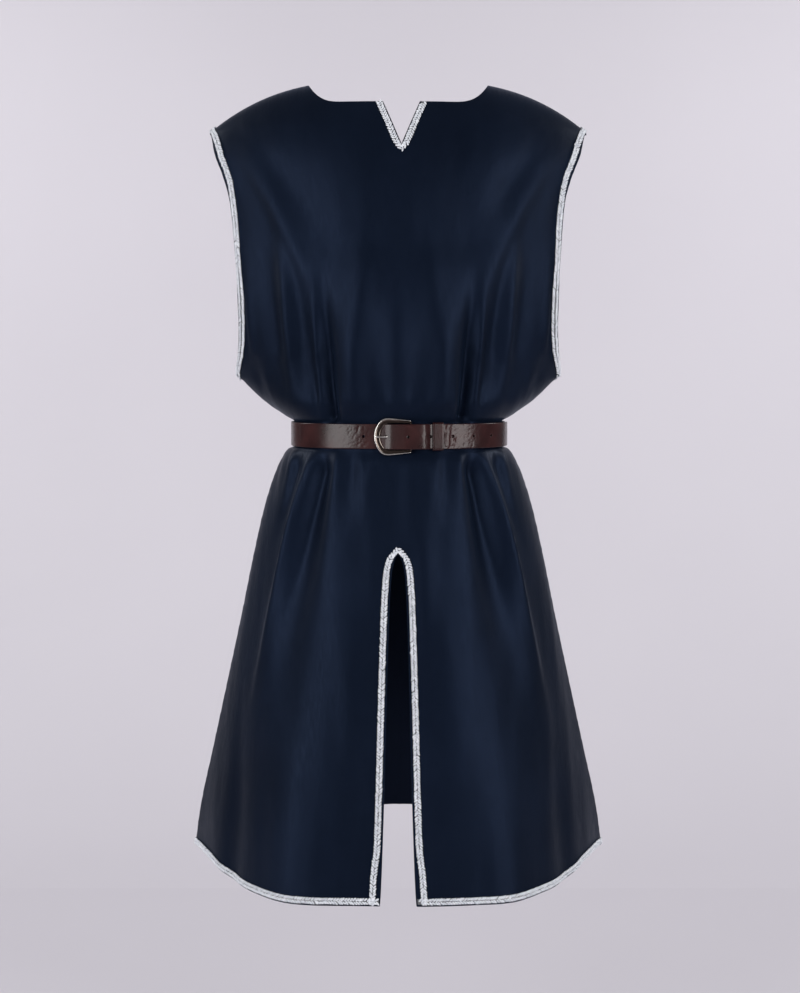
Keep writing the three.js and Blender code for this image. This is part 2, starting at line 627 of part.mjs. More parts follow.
// The strap's centre line: folded back over the bar, once round the waist, then over itself.
function strapPath() {
  const path = [];
  const run = (from, to, outAt, step) => {
    const n = Math.max(1, Math.round(Math.abs(to - from) / step));
    for (let i = 0; i <= n; i++) {
      const s = lerp(from, to, i / n);
      path.push(belt.at(s, outAt(s)));
    }
  };
  const foldOut = (s) => lerp(OVER_BAR, LAYER_2, smooth((s - BAR.s) / FOLD_SETTLES));
  run(FOLD_END, BAR.s + 1, foldOut, PATH_STEP.bend);
  const bar = belt.at(BAR.s, BAR_OUT);
  for (let i = 1; i < CURL_STEPS; i++) {
    const turn = -Math.PI / 2 - (i / CURL_STEPS) * Math.PI;
    path.push(new THREE.Vector2(bar.x + CURL * Math.cos(turn), bar.y + CURL * Math.sin(turn)));
  }
  run(BAR.s + 1, belt.total + PATH_MARKS.roundEnd, () => LAYER_1, PATH_STEP.flat);
  run(PATH_MARKS.freeStart, PATH_MARKS.bendsEnd, freeOut, PATH_STEP.bend);
  run(PATH_MARKS.flatStart, FREE_END, freeOut, PATH_STEP.flat);
  return path;
}

function bandShape(path, thick) {
  const sides = [[], []];
  path.forEach((p, i) => {
    const before = path[Math.max(0, i - 1)];
    const after = path[Math.min(path.length - 1, i + 1)];
    const run = after.clone().sub(before).normalize();
    const across = new THREE.Vector2(-run.y, run.x).multiplyScalar(thick / 2);
    sides[0].push(p.clone().add(across));
    sides[1].push(p.clone().sub(across));
  });
  return new THREE.Shape([...sides[0], ...sides[1].reverse()]);
}

const wasm = await Module();
wasm.setup();
const WELD = 1e-4; // points closer than this are one

function solid(geometry, matrix) {
  const bare = geometry.index ? geometry.toNonIndexed() : geometry.clone();
  bare.deleteAttribute("normal");
  bare.deleteAttribute("uv");
  if (matrix) bare.applyMatrix4(matrix);
  const merged = mergeVertices(bare, WELD);
  return new wasm.Manifold(
    new wasm.Mesh({
      numProp: 3,
      vertProperties: merged.attributes.position.array,
      triVerts: new Uint32Array(merged.index.array),
    }),
  );
}

function geometryOf(manifold) {
  const mesh = manifold.getMesh();
  const geometry = new THREE.BufferGeometry();
  geometry.setAttribute("position", new THREE.BufferAttribute(new Float32Array(mesh.vertProperties), 3));
  geometry.setIndex(new THREE.BufferAttribute(new Uint32Array(mesh.triVerts), 1));
  geometry.computeVertexNormals();
  return geometry;
}

// A frame standing on the belt: X along it, Y up and Z out of it.
function beltFrame(s, out) {
  const at = belt.at(s, out);
  const normal = at.clone().sub(belt.at(s, out - 1));
  const up = new THREE.Vector3(0, 0, 1);
  const away = new THREE.Vector3(normal.x, normal.y, 0).normalize();
  const along = new THREE.Vector3().crossVectors(up, away);
  return new THREE.Matrix4().makeBasis(along, up, away).setPosition(at.x, at.y, BELT_MID);
}

// The cut that lets the tongue's collar stand on the bar, through the strap's curl.
const COLLAR_CUT = { before: 1.5, out: 5.3, long: 9, wide: 6.4, deep: 8.2 };
const TONGUE_SLOT_DEPTH = 7;
// The rounded tip: how long it is, where each edge bends hardest, and the block that is cut away.
const TIP = { start: 23, length: 24, bend: 22, drawIn: 2, block: 40, depth: 2.6, lift: 0.1 };

// What is cut off the end of the strap, drawn flat on its face with the tip at +X.
function tipWaste() {
  const half = BELT.width / 2;
  const waste = new THREE.Shape();
  waste.moveTo(0, half);
  waste.quadraticCurveTo(TIP.bend, half - TIP.drawIn, TIP.length, 0);
  waste.quadraticCurveTo(TIP.bend, TIP.drawIn - half, 0, -half);
  waste.lineTo(0, -BELT.width);
  waste.lineTo(TIP.block, -BELT.width);
  waste.lineTo(TIP.block, BELT.width);
  waste.lineTo(0, BELT.width);
  const block = new THREE.ExtrudeGeometry(waste, { depth: TIP.depth, bevelEnabled: false, curveSegments: 5 });
  return block.translate(0, 0, -TIP.depth / 2);
}

function strapGeometry() {
  const band = new THREE.ExtrudeGeometry(bandShape(strapPath(), BELT.leather), {
    depth: BELT.width,
    bevelEnabled: false,
  });
  let strap = solid(band, new THREE.Matrix4().makeTranslation(0, 0, BELT.top - BELT.width));
  const cut = (geometry, matrix) => {
    strap = strap.subtract(solid(geometry, matrix));
  };
  for (let i = 0; i < HOLE.count; i++) {
    const s = HOLE.first + i * HOLE.pitch;
    if (i !== TONGUE.hole) cut(holeGeometry(), beltFrame(s, freeOut(s)));
  }
  const tongueSlot = new THREE.BoxGeometry(TONGUE.slot, 2 * HOLE.radius, TONGUE_SLOT_DEPTH);
  cut(tongueSlot, beltFrame(TONGUE.through, freeOut(TONGUE.through)));
  const collarCut = new THREE.BoxGeometry(COLLAR_CUT.long, COLLAR_CUT.wide, COLLAR_CUT.deep);
  cut(collarCut, beltFrame(BAR.s - COLLAR_CUT.before, COLLAR_CUT.out));
  cut(tipWaste(), beltFrame(FREE_END - TIP.start, LAYER_2 + TIP.lift));
  return geometryOf(strap);
}

function holeGeometry() {
  const deep = BELT.leather + 2 * HOLE.past;
  const hole = new THREE.CylinderGeometry(HOLE.radius, HOLE.radius, deep, HOLE.sides);
  return hole.rotateX(Math.PI / 2);
}

// ---------------------------------------------------------------- buckle
const FRAME = { left: -29, right: 16.6, half: 22.1, endHalf: 19.4, inside: 15.8, band: 6.2, thick: 3 };
const FRAME_EDGE = 0.6; // bevel all round the frame
// Where the frame's rails end and its round end starts, and the handles of the curve between.
const ROUND_END = { start: -13, handle: -22, share: 0.55 };
const TONGUE = { hole: 1, through: -6, slot: 10, radius: 1.15 };
const COLLAR = { inner: BAR.radius + 0.7, outer: BAR.radius + 1.5, width: 3.6 };
// The tongue's route: place along the belt, and height over the bar's middle or under its rest height.
const TONGUE_BACK = [
  { s: BAR.s - 2.2, overBar: 0 },
  { s: 4, overBar: -0.9 },
  { s: -4, overBar: -0.6 },
];
const TONGUE_TIP = [
  { s: -11, underRest: 1.8 },
  { s: -17, underRest: 0.2 },
  { s: -23, underRest: 0 },
  { s: -27.4, underRest: 0 },
];
const TONGUE_REST_GAP = 0.3; // between the tongue and the frame that it lies on

// A D: straight at the bar, then two rails, then a round end. `bevel` draws it in on every side.
function frameOutline(left, right, half, endHalf, bevel) {
  const shape = new THREE.Shape();
  const [l, r, h, e] = [left + bevel, right - bevel, half - bevel, endHalf - bevel];
  shape.moveTo(r, -e);
  shape.lineTo(r, e);
  shape.lineTo(ROUND_END.start, h);
  shape.bezierCurveTo(ROUND_END.handle, h, l, h * ROUND_END.share, l, 0);
  shape.bezierCurveTo(l, -h * ROUND_END.share, ROUND_END.handle, -h, ROUND_END.start, -h);
  return shape;
}

function frameGeometry() {
  const { left, right, half, endHalf, inside, band, thick } = FRAME;
  const bevel = FRAME_EDGE;
  const shape = frameOutline(left, right, half, endHalf, bevel);
  const barWidth = 2 * BAR.radius;
  shape.holes.push(frameOutline(left + band, right - barWidth, inside, inside, -bevel));
  const geometry = new THREE.ExtrudeGeometry(shape, {
    depth: thick - 2 * bevel,
    bevelEnabled: true,
    bevelThickness: bevel,
    bevelSize: bevel,
    bevelSegments: 2,
    curveSegments: 9,
  });
  return geometry.translate(0, 0, bevel - thick / 2);
}

function tongueGeometry() {
  const ring = new THREE.Shape();
  ring.absarc(0, 0, COLLAR.outer, 0, Math.PI * 2);
  const eye = new THREE.Path();
  eye.absarc(0, 0, COLLAR.inner, 0, Math.PI * 2, true);
  ring.holes.push(eye);
  const collarForm = { depth: COLLAR.width, bevelEnabled: false, curveSegments: 10 };
  const collar = new THREE.ExtrudeGeometry(ring, collarForm);
  collar.translate(0, 0, -COLLAR.width / 2).rotateX(Math.PI / 2).translate(BAR.s, 0, BAR_OUT);
  const restOut = BAR_OUT + FRAME.thick / 2 + TONGUE.radius + TONGUE_REST_GAP;
  const route = new THREE.CatmullRomCurve3([
    ...TONGUE_BACK.map(({ s, overBar }) => new THREE.Vector3(s, 0, BAR_OUT + overBar)),
    ...TONGUE_TIP.map(({ s, underRest }) => new THREE.Vector3(s, 0, restOut - underRest)),
  ]);
  const wire = new THREE.Shape();
  wire.absarc(0, 0, TONGUE.radius, 0, Math.PI * 2);
  const shank = new THREE.ExtrudeGeometry(wire, { extrudePath: route, steps: 14, curveSegments: 4 });
  return geometryOf(solid(collar).add(solid(shank)));
}

// The keeper's loop: the gap to the strap above and beside it and behind it, and its corners' radii.
const KEEPER = { s: 47.1, width: 13.4, thick: 1.4, inner: 0.5, play: 0.4, playBehind: 0.3 };
const KEEPER_CORNER = { outside: 1.8, inside: 0.5 };

function keeperGeometry() {
  const outer = LAYER_2 + BELT.leather / 2 + KEEPER.play;
  const inner = KEEPER.inner + KEEPER.thick;
  const rounded = (low, high, half, radius) => {
    const shape = new THREE.Shape();
    shape.moveTo(low + radius, -half);
    shape.lineTo(high - radius, -half);
    shape.quadraticCurveTo(high, -half, high, -half + radius);
    shape.lineTo(high, half - radius);
    shape.quadraticCurveTo(high, half, high - radius, half);
    shape.lineTo(low + radius, half);
    shape.quadraticCurveTo(low, half, low, half - radius);
    shape.lineTo(low, -half + radius);
    shape.quadraticCurveTo(low, -half, low + radius, -half);
    return shape;
  };
  const half = BELT.width / 2 + KEEPER.play;
  const corner = KEEPER_CORNER;
  const shape = rounded(KEEPER.inner, outer + KEEPER.thick, half + KEEPER.thick, corner.outside);
  shape.holes.push(rounded(inner - KEEPER.playBehind, outer, half, corner.inside));
  const geometry = new THREE.ExtrudeGeometry(shape, {
    depth: KEEPER.width,
    bevelEnabled: false,
    curveSegments: 3,
  });
  return geometry.translate(0, 0, -KEEPER.width / 2).rotateY(-Math.PI / 2);
}

// ---------------------------------------------------------------- the garment
const satin = () => new THREE.MeshStandardMaterial({ color: 0x141b2c, roughness: 0.5, metalness: 0 });
const braidCloth = () => new THREE.MeshStandardMaterial({ color: 0xdfe2ea, roughness: 0.7, metalness: 0 });
const leather = () => new THREE.MeshStandardMaterial({ color: 0x35191a, roughness: 0.3, metalness: 0 });
const metal = () => new THREE.MeshStandardMaterial({ color: 0x9a9088, roughness: 0.22, metalness: 1 });

function mesh(name, geometry, material, matrix) {
  const made = new THREE.Mesh(geometry, material);
  made.name = name;
  if (matrix) made.applyMatrix4(matrix);
  return made;
}

const front = panelFace(FRONT);
const back = panelFace(BACK);
const inside = (face) => moved(face.points, face.normals, -CLOTH);
const panelWall = (face) => wallGeometry(face.points, inside(face), face.triangles);

const cloth = new THREE.Group();
cloth.add(
  mesh("panel_front", panelWall(front), satin()),
  mesh("panel_back", panelWall(back), satin()),
  mesh("braid_hem_and_slit", hemAndSlitBraid(front, back), braidCloth()),
  mesh("braid_neck_notch", notchBraid(front), braidCloth()),
  mesh("braid_armhole_left", armholeBraid(front, back, 1), braidCloth()),
  mesh("braid_armhole_right", armholeBraid(front, back, -1), braidCloth()),
);

// The buckle's parts lie in the plane of the belt at centre front.
const buckle = new THREE.Group();
const BELT_BEND = 0.2; // the belt line falls this much behind its tangent plane by the bar
const bucklePlane = beltFrame(0, -BELT_BEND);
const barLift = new THREE.Matrix4().makeTranslation(0, 0, BAR_OUT);
buckle.add(
  mesh("buckle_frame", frameGeometry(), metal(), bucklePlane.clone().multiply(barLift)),
  mesh("buckle_tongue", tongueGeometry(), metal(), bucklePlane),
);

const waist = new THREE.Group();
waist.add(mesh("belt_strap", strapGeometry(), leather()), buckle);
waist.add(mesh("belt_keeper", keeperGeometry(), leather(), beltFrame(KEEPER.s, 0)));

const tunic = new THREE.Group();
tunic.name = "medieval_tunic";
tunic.add(cloth, waist);
export default tunic;
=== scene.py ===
"""A sleeveless medieval tunic, worn and hollow, with braid on its edges and a buckled leather belt.

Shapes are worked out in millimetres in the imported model's frame: +Z up, the front faces -Y and the
wearer's left is at +X. They become metres when a mesh is made.
"""

import math

import bpy
import numpy as np
from mathutils import Matrix, Vector


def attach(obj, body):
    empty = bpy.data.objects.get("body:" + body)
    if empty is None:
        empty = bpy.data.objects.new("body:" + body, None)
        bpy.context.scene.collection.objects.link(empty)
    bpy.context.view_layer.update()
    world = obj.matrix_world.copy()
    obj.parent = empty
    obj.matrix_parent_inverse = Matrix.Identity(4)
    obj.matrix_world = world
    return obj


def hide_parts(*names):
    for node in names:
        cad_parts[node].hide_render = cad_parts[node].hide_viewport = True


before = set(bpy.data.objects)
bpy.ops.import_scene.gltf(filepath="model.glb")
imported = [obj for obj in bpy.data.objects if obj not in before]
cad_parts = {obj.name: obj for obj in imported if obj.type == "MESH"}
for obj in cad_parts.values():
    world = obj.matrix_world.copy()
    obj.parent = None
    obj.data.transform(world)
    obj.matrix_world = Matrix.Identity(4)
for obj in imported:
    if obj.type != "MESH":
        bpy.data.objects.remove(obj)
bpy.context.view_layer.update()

MM = 0.001

# ---------------------------------------------------------------- camera
# The photograph's camera: a 50 mm lens at 1.75 m, a little above the belt and tipped a little down.
CAMERA_PLACE = (0.0022, -1.751, -0.3499)
CAMERA_DIP = 5.2413
LENS = 50
SENSOR = 36


def make_camera():
    data = bpy.data.cameras.new("camera")
    data.lens = LENS
    data.sensor_width = SENSOR
    data.clip_end = 30
    camera = bpy.data.objects.new("camera", data)
    camera.location = CAMERA_PLACE
    camera.rotation_euler = (math.radians(90 - CAMERA_DIP), 0, 0)
    bpy.context.scene.collection.objects.link(camera)
    bpy.context.scene.camera = camera
    bpy.context.scene.view_settings.view_transform = "Standard"


# ---------------------------------------------------------------- driving sizes
LENGTH = 974  # neck point down to the hem at centre front
CLOTH = 1.6  # doubled satin
SEAM_HALF_GAP = 0.2
BRAID_MARGIN = 0.9
BRAID_WIDTH = 7.8
BRAID_REACH = BRAID_MARGIN + BRAID_WIDTH
BRAID_MIDDLE = BRAID_MARGIN + BRAID_WIDTH / 2
BELT_WIDTH = 30
BELT_TOP = -414.5
BELT_MID = BELT_TOP - BELT_WIDTH / 2
STRAP = 2  # thickness of the leather

NECK_HALF = 111.6
SHOULDER_HALF = 234
CHEST_LEVEL = -190
ARMHOLE_FOOT = -355
NOTCH_TIP = -85
NOTCH_TOP = -29.5
NOTCH_HALF = 22.8
NOTCH_SHIFT = 4
NOTCH_BRAID_DROP = 7
SLIT_TOP = -568


def table(names, rows):
    """Columns of a table by name, as arrays."""
    return dict(zip(names.split(), np.array(rows, float).T))


# Plan sections: half width, depth of the front and the back, how far the armhole edge stands off the
# seam plane in front and behind, and the two exponents of the section curve.
SECTIONS = table("z half front back edge_front edge_back flat fall", [
    (-56, 234, 104, 96, 52, 50, 2.1, 1.0),
    (-66, 229.2, 104, 96, 52, 50, 2.1, 1.0),
    (-95, 222.0, 104, 96, 52, 50, 2.1, 1.0),
    (-124, 211.4, 104, 96, 52, 50, 2.1, 1.0),
    (-153, 204.0, 104, 96, 52, 50, 2.1, 1.0),
    (-190, 199.6, 104, 96, 52, 50, 2.1, 1.0),
    (-240, 196.8, 111, 101, 50, 48, 2.1, 1.0),
    (-290, 196.8, 114, 102, 41, 40, 2.1, 1.0),
    (-325, 199.4, 113, 101, 27, 26, 2.1, 1.0),
    (-345, 203.0, 111, 99, 12, 12, 2.1, 0.95),
    (-355, 204.6, 110, 98, 0, 0, 2.1, 0.9),
    (-365, 195.0, 108, 97, 0, 0, 2.15, 0.82),
    (-388, 170.4, 104, 96, 0, 0, 2.3, 0.62),
    (-403, 149.0, 97.4, 94, 0, 0, 2.45, 0.5),
    (-410, 137.6, 94.6, 92.5, 0, 0, 2.5, 0.46),
    (-413, 131.7, 93.5, 90, 0, 0, 2.5, 0.45),
    (-446, 131.7, 93.5, 90, 0, 0, 2.5, 0.45),
    (-449, 139.5, 94.6, 94, 0, 0, 2.5, 0.46),
    (-460, 147.2, 100.5, 98, 0, 0, 2.5, 0.48),
    (-480, 156.6, 106, 103, 0, 0, 2.55, 0.56),
    (-520, 169.7, 113, 112, 0, 0, 2.62, 0.62),
    (-582, 184.6, 122, 124, 0, 0, 2.75, 0.7),
    (-665, 202.2, 135, 138, 0, 0, 2.9, 0.78),
    (-748, 220.7, 149, 151, 0, 0, 3.05, 0.86),
    (-833, 239.8, 163, 164, 0, 0, 3.2, 0.92),
    (-918, 258.6, 178, 178, 0, 0, 3.3, 0.97),
    (-974, 266.4, 189, 187, 0, 0, 3.4, 1.0),
])

# Half width of the centre front slit below its head.
SLIT = table("below half", [
    (0, 0), (3, 2.6), (9.5, 5.5), (23, 8.4), (60, 10.9), (170, 14.4), (291, 17.4), (388, 21), (406, 22.4),
])

# How far the hem lifts from the centre line (share 0) to the side seam (share 1).
HEM = {
    "front": table("share rise", [
        (0, 0), (0.48, 0), (0.62, 1), (0.68, 4), (0.77, 10), (0.88, 11), (1, 8),
    ]),
    "back": table("share rise", [(0, 0), (0.4, 1), (0.8, 6), (1, 8)]),
}

# Folds of the cloth on both halves of a panel: levels where each starts, is deepest and ends, its
# place across at start and end, its depth (a trough is below 0) and its spread at start and end.
FOLD_COLUMNS = "start peak end x0 x1 depth spread0 spread1"
MAIN_FOLDS = {
    "front": table(FOLD_COLUMNS, [
        (-262, -405, -419, 91, 81, -15, 13, 8),
        (-240, -385, -417, 60, 50, 6, 24, 17),
        (-230, -375, -417, 122, 99, -6, 12, 8),
        (-150, -310, -390, 168, 140, -6, 16, 12),
        (-60, -170, -290, 178, 78, 4, 16, 24),
        (-250, -370, -417, 0, 0, -5, 22, 20),
        (-441, -478, -800, 88, 152, -15, 9, 34),
        (-441, -560, -900, 105, 205, 7, 9, 26),
        (-441, -470, -600, 119, 158, -8, 8, 14),
        (-441, -465, -560, 56, 66, -3.5, 9, 16),
        (-720, -960, -1200, 190, 224, -6, 18, 26),
        (-700, -960, -1200, 118, 142, 6, 26, 40),
    ]),
    "back": table(FOLD_COLUMNS, [
        (-240, -400, -419, 34, 24, -11, 14, 8),
        (-250, -395, -419, 82, 66, -9, 13, 8),
        (-230, -385, -419, 132, 104, -9, 14, 8),
        (-120, -260, -380, 150, 165, -5, 20, 14),
        (-90, -210, -330, 0, 0, -4, 30, 26),
        (-441, -490, -860, 32, 62, -12, 8, 26),
        (-441, -480, -760, 74, 118, -10, 8, 26),
        (-441, -475, -700, 112, 168, -9, 8, 20),
        (-560, -960, -1300, 90, 112, 9, 20, 34),
        (-560, -960, -1300, 10, 0, 8, 22, 36),
        (-640, -960, -1300, 160, 176, -9, 18, 28),
    ]),
}

# Finer creases, which only the cloth's own surface holds.
FINE_FOLDS = {
    "front": table(FOLD_COLUMNS, [
        (-205, -325, -412, 92, 84, -6.5, 10, 8),
        (-225, -345, -416, 104, 95, 3.4, 6, 5),
        (-215, -345, -416, 62, 56, 3.5, 15, 12),
        (-190, -300, -412, 0, 0, -6.5, 27, 24),
        (-90, -185, -300, 172, 84, 2.6, 10, 13),
        (-190, -300, -352, 184, 178, 3.0, 6, 6),
        (-60, -120, -190, 150, 110, -2.4, 16, 18),
        (-200, -300, -400, 127, 113, -3.6, 9, 8),
        (-160, -260, -370, 143, 130, 2.6, 8, 8),
        (-170, -280, -400, 42, 46, 2.6, 15, 14),
        (-250, -352, -418, 113, 97, -1.6, 7, 4),
        (-262, -345, -410, 131, 112, -1.8, 8, 6),
        (-235, -320, -405, 142, 126, 1.8, 9, 7),
        (-290, -378, -418, 112, 103, 1.3, 5, 4),
        (-300, -392, -419, 70, 66, 1.4, 5, 4),
        (-345, -398, -419, 34, 31, -1.4, 7, 4),
        (-352, -402, -419, 17, 15, 1.0, 5, 4),
        (-330, -352, -392, 184, 166, -2.6, 7, 6),
        (-318, -345, -398, 175, 152, 2.2, 5, 5),
        (-100, -150, -230, 196, 190, -2.2, 10, 12),
        (-441, -530, -800, 108, 190, 5.4, 4, 7),
        (-441, -530, -700, 94, 150, -3.0, 5, 12),
        (-441, -470, -560, 40, 44, 1.8, 12, 16),
        (-441, -475, -570, 0, 0, -2.0, 18, 20),
        (-470, -600, -700, 28, 34, 2.2, 12, 16),
        (-441, -500, -640, 93, 134, -1.8, 4, 9),
        (-441, -458, -520, 72, 84, 1.3, 4, 8),
        (-441, -456, -505, 38, 42, -1.3, 5, 9),
        (-441, -455, -490, 20, 22, 0.9, 4, 8),
        (-441, -462, -545, 128, 150, 2.0, 4, 8),
        (-441, -455, -500, 111, 121, -1.6, 3, 6),
        (-640, -740, -830, 150, 128, -1.2, 12, 20),
        (-600, -700, -860, 60, 52, 1.4, 22, 30),
    ]),
    "back": table(FOLD_COLUMNS, [
        (-300, -385, -419, 50, 42, 2.2, 6, 4),
        (-310, -392, -419, 12, 8, 1.6, 6, 4),
        (-290, -380, -419, 98, 84, 2.0, 6, 4),
        (-345, -398, -419, 116, 96, -1.3, 5, 4),
        (-318, -345, -398, 175, 152, 2.0, 5, 5),
        (-441, -520, -760, 48, 86, 2.2, 5, 9),
        (-441, -500, -700, 92, 140, 2.2, 5, 9),
        (-441, -456, -505, 16, 18, 1.4, 4, 8),
        (-441, -462, -545, 128, 150, 2.0, 4, 8),
        (-441, -458, -520, 60, 72, -1.3, 4, 8),
    ]),
}


def cubic(x, y, tangent):
    """The cubic through points with the given slopes, as a function of arrays."""

    def value(v):
        v = np.clip(v, x[0], x[-1])
        i = np.clip(np.searchsorted(x, v) - 1, 0, len(x) - 2)
        h = x[i + 1] - x[i]
        t = (v - x[i]) / h
        return (
            y[i] * (2 * t**3 - 3 * t**2 + 1)
            + tangent[i] * h * (t**3 - 2 * t**2 + t)
            + y[i + 1] * (3 * t**2 - 2 * t**3)
            + tangent[i + 1] * h * (t**3 - t**2)
        )

    return value


def curve(x, y):
    """Monotone cubic through points, as a function of arrays."""
    order = np.argsort(x)
    x, y = np.asarray(x, float)[order], np.asarray(y, float)[order]
    slope = np.diff(y) / np.diff(x)
    before, after = slope[:-1], slope[1:]
    same = before * after > 0
    middle = np.where(same, 2 * before * after / np.where(same, before + after, 1), 0)
    tangent = np.concatenate([slope[:1], middle, slope[-1:]])

    return cubic(x, y, tangent)


def curve_through(x, y):
    """A smooth cubic through points that may rise and fall."""
    return cubic(x, y, np.gradient(y, x))


def lerp(a, b, t):
    return a + (b - a) * t


def smooth(t):
    t = np.clip(t, 0, 1)
    return t * t * (3 - 2 * t)


def section_curve(name):
    return curve(SECTIONS["z"], SECTIONS[name])


half_at = section_curve("half")
flat_at = section_curve("flat")
fall_at = section_curve("fall")
depth_at = {side: section_curve(side) for side in ("front", "back")}
edge_at = {side: section_curve("edge_" + side) for side in ("front", "back")}
slit_at = curve(SLIT["below"], SLIT["half"])
hem_rise = {side: curve(rows["share"], rows["rise"]) for side, rows in HEM.items()}

SHOULDER_FALL = 5e-6


def shoulder_top(x):
    return SHOULDER_FALL * (NECK_HALF**3 - np.abs(x) ** 3)


NECKLINE = {"front": (30, 62, 3.4), "back": (70, 0, 2.6)}


def neckline(side, x):
    drop, flat_to, power = NECKLINE[side]
    t = np.clip((np.abs(x) - flat_to) / (NECK_HALF - flat_to), 0, 1)
    return -drop * (1 - t**power)


def section_depth(side, z, across):
    edge = edge_at[side](z)
    bulge = np.maximum(0, 1 - np.abs(across) ** flat_at(z)) ** fall_at(z)
    return edge + (depth_at[side](z) - edge) * bulge


class Arc:
    """Distances along the cloth of a level section, from the centre line to the side."""

    STEPS = 160

    def __init__(self, side, z):
        self.half = float(half_at(z))
        self.across = np.sin(np.linspace(0, math.pi / 2, self.STEPS + 1))
        rise = np.diff(section_depth(side, z, self.across))
        run = self.half * np.diff(self.across)
        self.along = np.concatenate([[0], np.cumsum(np.hypot(run, rise))])
        self.length = self.along[-1]

    def across_at(self, along):
        """Negative distances run on straight past the centre line."""
        inside = np.interp(along, self.along, self.across)
        return np.where(along < 0, along / self.half, inside)

    def along_at(self, x):
        return np.interp(np.abs(x) / self.half, self.across, self.along)


# ---------------------------------------------------------------- folds and small relief
SIDE_CALM = 26
SIDE_CALM_START = 45  # how far above the side seam's top the folds begin to calm down
UNEVEN = 0.12  # how far the two halves of a panel differ in the depth of their creases
EVEN_REACH = 40  # creases nearer the centre line than this differ less


def side_calm(z, from_side):
    """How much of a fold is left near the side seam, at distances from it."""
    below_start = smooth((ARMHOLE_FOOT + SIDE_CALM_START - z) / SIDE_CALM_START)
    return lerp(1, smooth(from_side / SIDE_CALM), below_start)


def fold_push(folds, z, arc, along, sign):
    """How far a table of folds moves the cloth out, at distances along one section."""
    total = np.zeros_like(along)
    for i, start in enumerate(folds["start"]):
        peak, end = folds["peak"][i], folds["end"][i]
        rise = smooth((start - z) / (start - peak))
        fade = 1 - smooth((peak - z) / (peak - end))
        t = np.clip((start - z) / (start - end), 0, 1)
        place = arc.along_at(lerp(folds["x0"][i], folds["x1"][i], t))
        off = (along - place) / lerp(folds["spread0"][i], folds["spread1"][i], t)
        uneven = UNEVEN * sign * math.sin(7.3 * i + 1.1) * min(1, abs(folds["x0"][i]) / EVEN_REACH)
        depth = folds["depth"][i] * (1 + uneven)
        total += depth * np.minimum(rise, fade) * np.exp(-off * off)
    return total


def waves(seed, count, long_wave, short_wave):
    """Random waves: two wave numbers, a phase and a weight each."""
    draw = np.random.default_rng(seed)
    length = draw.uniform(short_wave, long_wave, count)
    turn = draw.uniform(-0.5, 0.5, count)
    return np.stack([
        2 * math.pi / length * np.cos(turn),
        2 * math.pi / length * np.sin(turn) * 0.5,
        draw.uniform(0, 2 * math.pi, count),
        draw.uniform(0.5, 1, count) / count,
    ], axis=1)


SOFT_WAVES = {"front": waves(4, 9, 190, 70), "back": waves(11, 9, 190, 70)}
SOFT_DEPTH = 3.8
SMALL_WAVES = {"front": waves(21, 12, 62, 22), "back": waves(35, 12, 62, 22)}
SMALL_DEPTH = 0.75


def wave_sum(table_of_waves, along, z):
    total = np.zeros(np.broadcast(along, z).shape)
    for ka, kz, phase, weight in table_of_waves:
        total += weight * np.sin(ka * along + kz * z + phase)
    return total


PUCKER_LENGTHS = (9.5, 14.3, 23.7)
PUCKER_DEPTH = 0.42
PUCKER_REACH = 10


def pucker(run, distance, shift):
    """Small gathers that the stitching of a braid or seam draws into the cloth beside it."""
    ripple = sum(np.sin(2 * math.pi * run / length + shift * length) for length in PUCKER_LENGTHS) / 3
    return PUCKER_DEPTH * ripple * np.exp(-(((distance - BRAID_REACH) / PUCKER_REACH) ** 2))


SEAM_DIP = 1.1
SEAM_DIP_WIDTH = 1.5


def seam_dip(run, off_plane):
    """The cloth turns in beside a seam, a little unevenly."""
    uneven = 1 + 0.25 * np.sin(run / 5.1) * np.sin(run / 13.7 + 1)
    off = np.maximum(0, np.abs(off_plane) - SEAM_HALF_GAP) / SEAM_DIP_WIDTH
    return SEAM_DIP * uneven * np.exp(-(off**2))


BELT_CALM_REACH = 22
BELT_RUMPLE = 1.6  # how much deeper the small waves are beside the belt
BELT_RUMPLE_REACH = 70


def belt_calm(z):
    """0 under the belt, where the cloth is pressed flat, and 1 away from it."""
    return smooth((np.abs(z - BELT_MID) - BELT_WIDTH / 2) / BELT_CALM_REACH)


def small_relief(side, sign, z, along, length):
    soft = SOFT_DEPTH * wave_sum(SOFT_WAVES[side], sign * along, z)
    small = SMALL_DEPTH * wave_sum(SMALL_WAVES[side], sign * along, z)
    near_belt = np.exp(-(((z - BELT_MID) / BELT_RUMPLE_REACH) ** 2))
    relief = (soft + small * (1 + BELT_RUMPLE * near_belt)) * belt_calm(z)
    calm = side_calm(z, length - along)
    edge_run = pucker(z, length - along, 1.0 + sign)
    if side == "front" and z < SLIT_TOP:
        edge_run = edge_run + pucker(z, along - float(slit_at(SLIT_TOP - z)), 2.0 + sign)
    return relief * calm + edge_run


# ---------------------------------------------------------------- panels
# A panel's cloth is a grid on each half. Column numbers count the CAD solid's columns and row numbers
# its rows; both are real numbers here, so that the surface is the same and the grid finer.
PANELS = {
    "front": {"columns": 16, "neck_column": 7, "split": 5},
    "back": {"columns": 13, "neck_column": 6, "split": 6},
}
ARCH_ROWS = 9
NOTCH_ROW = 5
ARCH_POWER = 2.2
SKIRT_SPAN = LENGTH + SLIT_TOP

EDGE_STEPS = (0, BRAID_MARGIN, 2.8, BRAID_MIDDLE, 6.8)  # distances from a free edge
SIDE_STEPS = (6.8, BRAID_MIDDLE, 3.3, 2.2, 1.4, BRAID_MARGIN, 0.35, 0)  # distances from the armhole or side


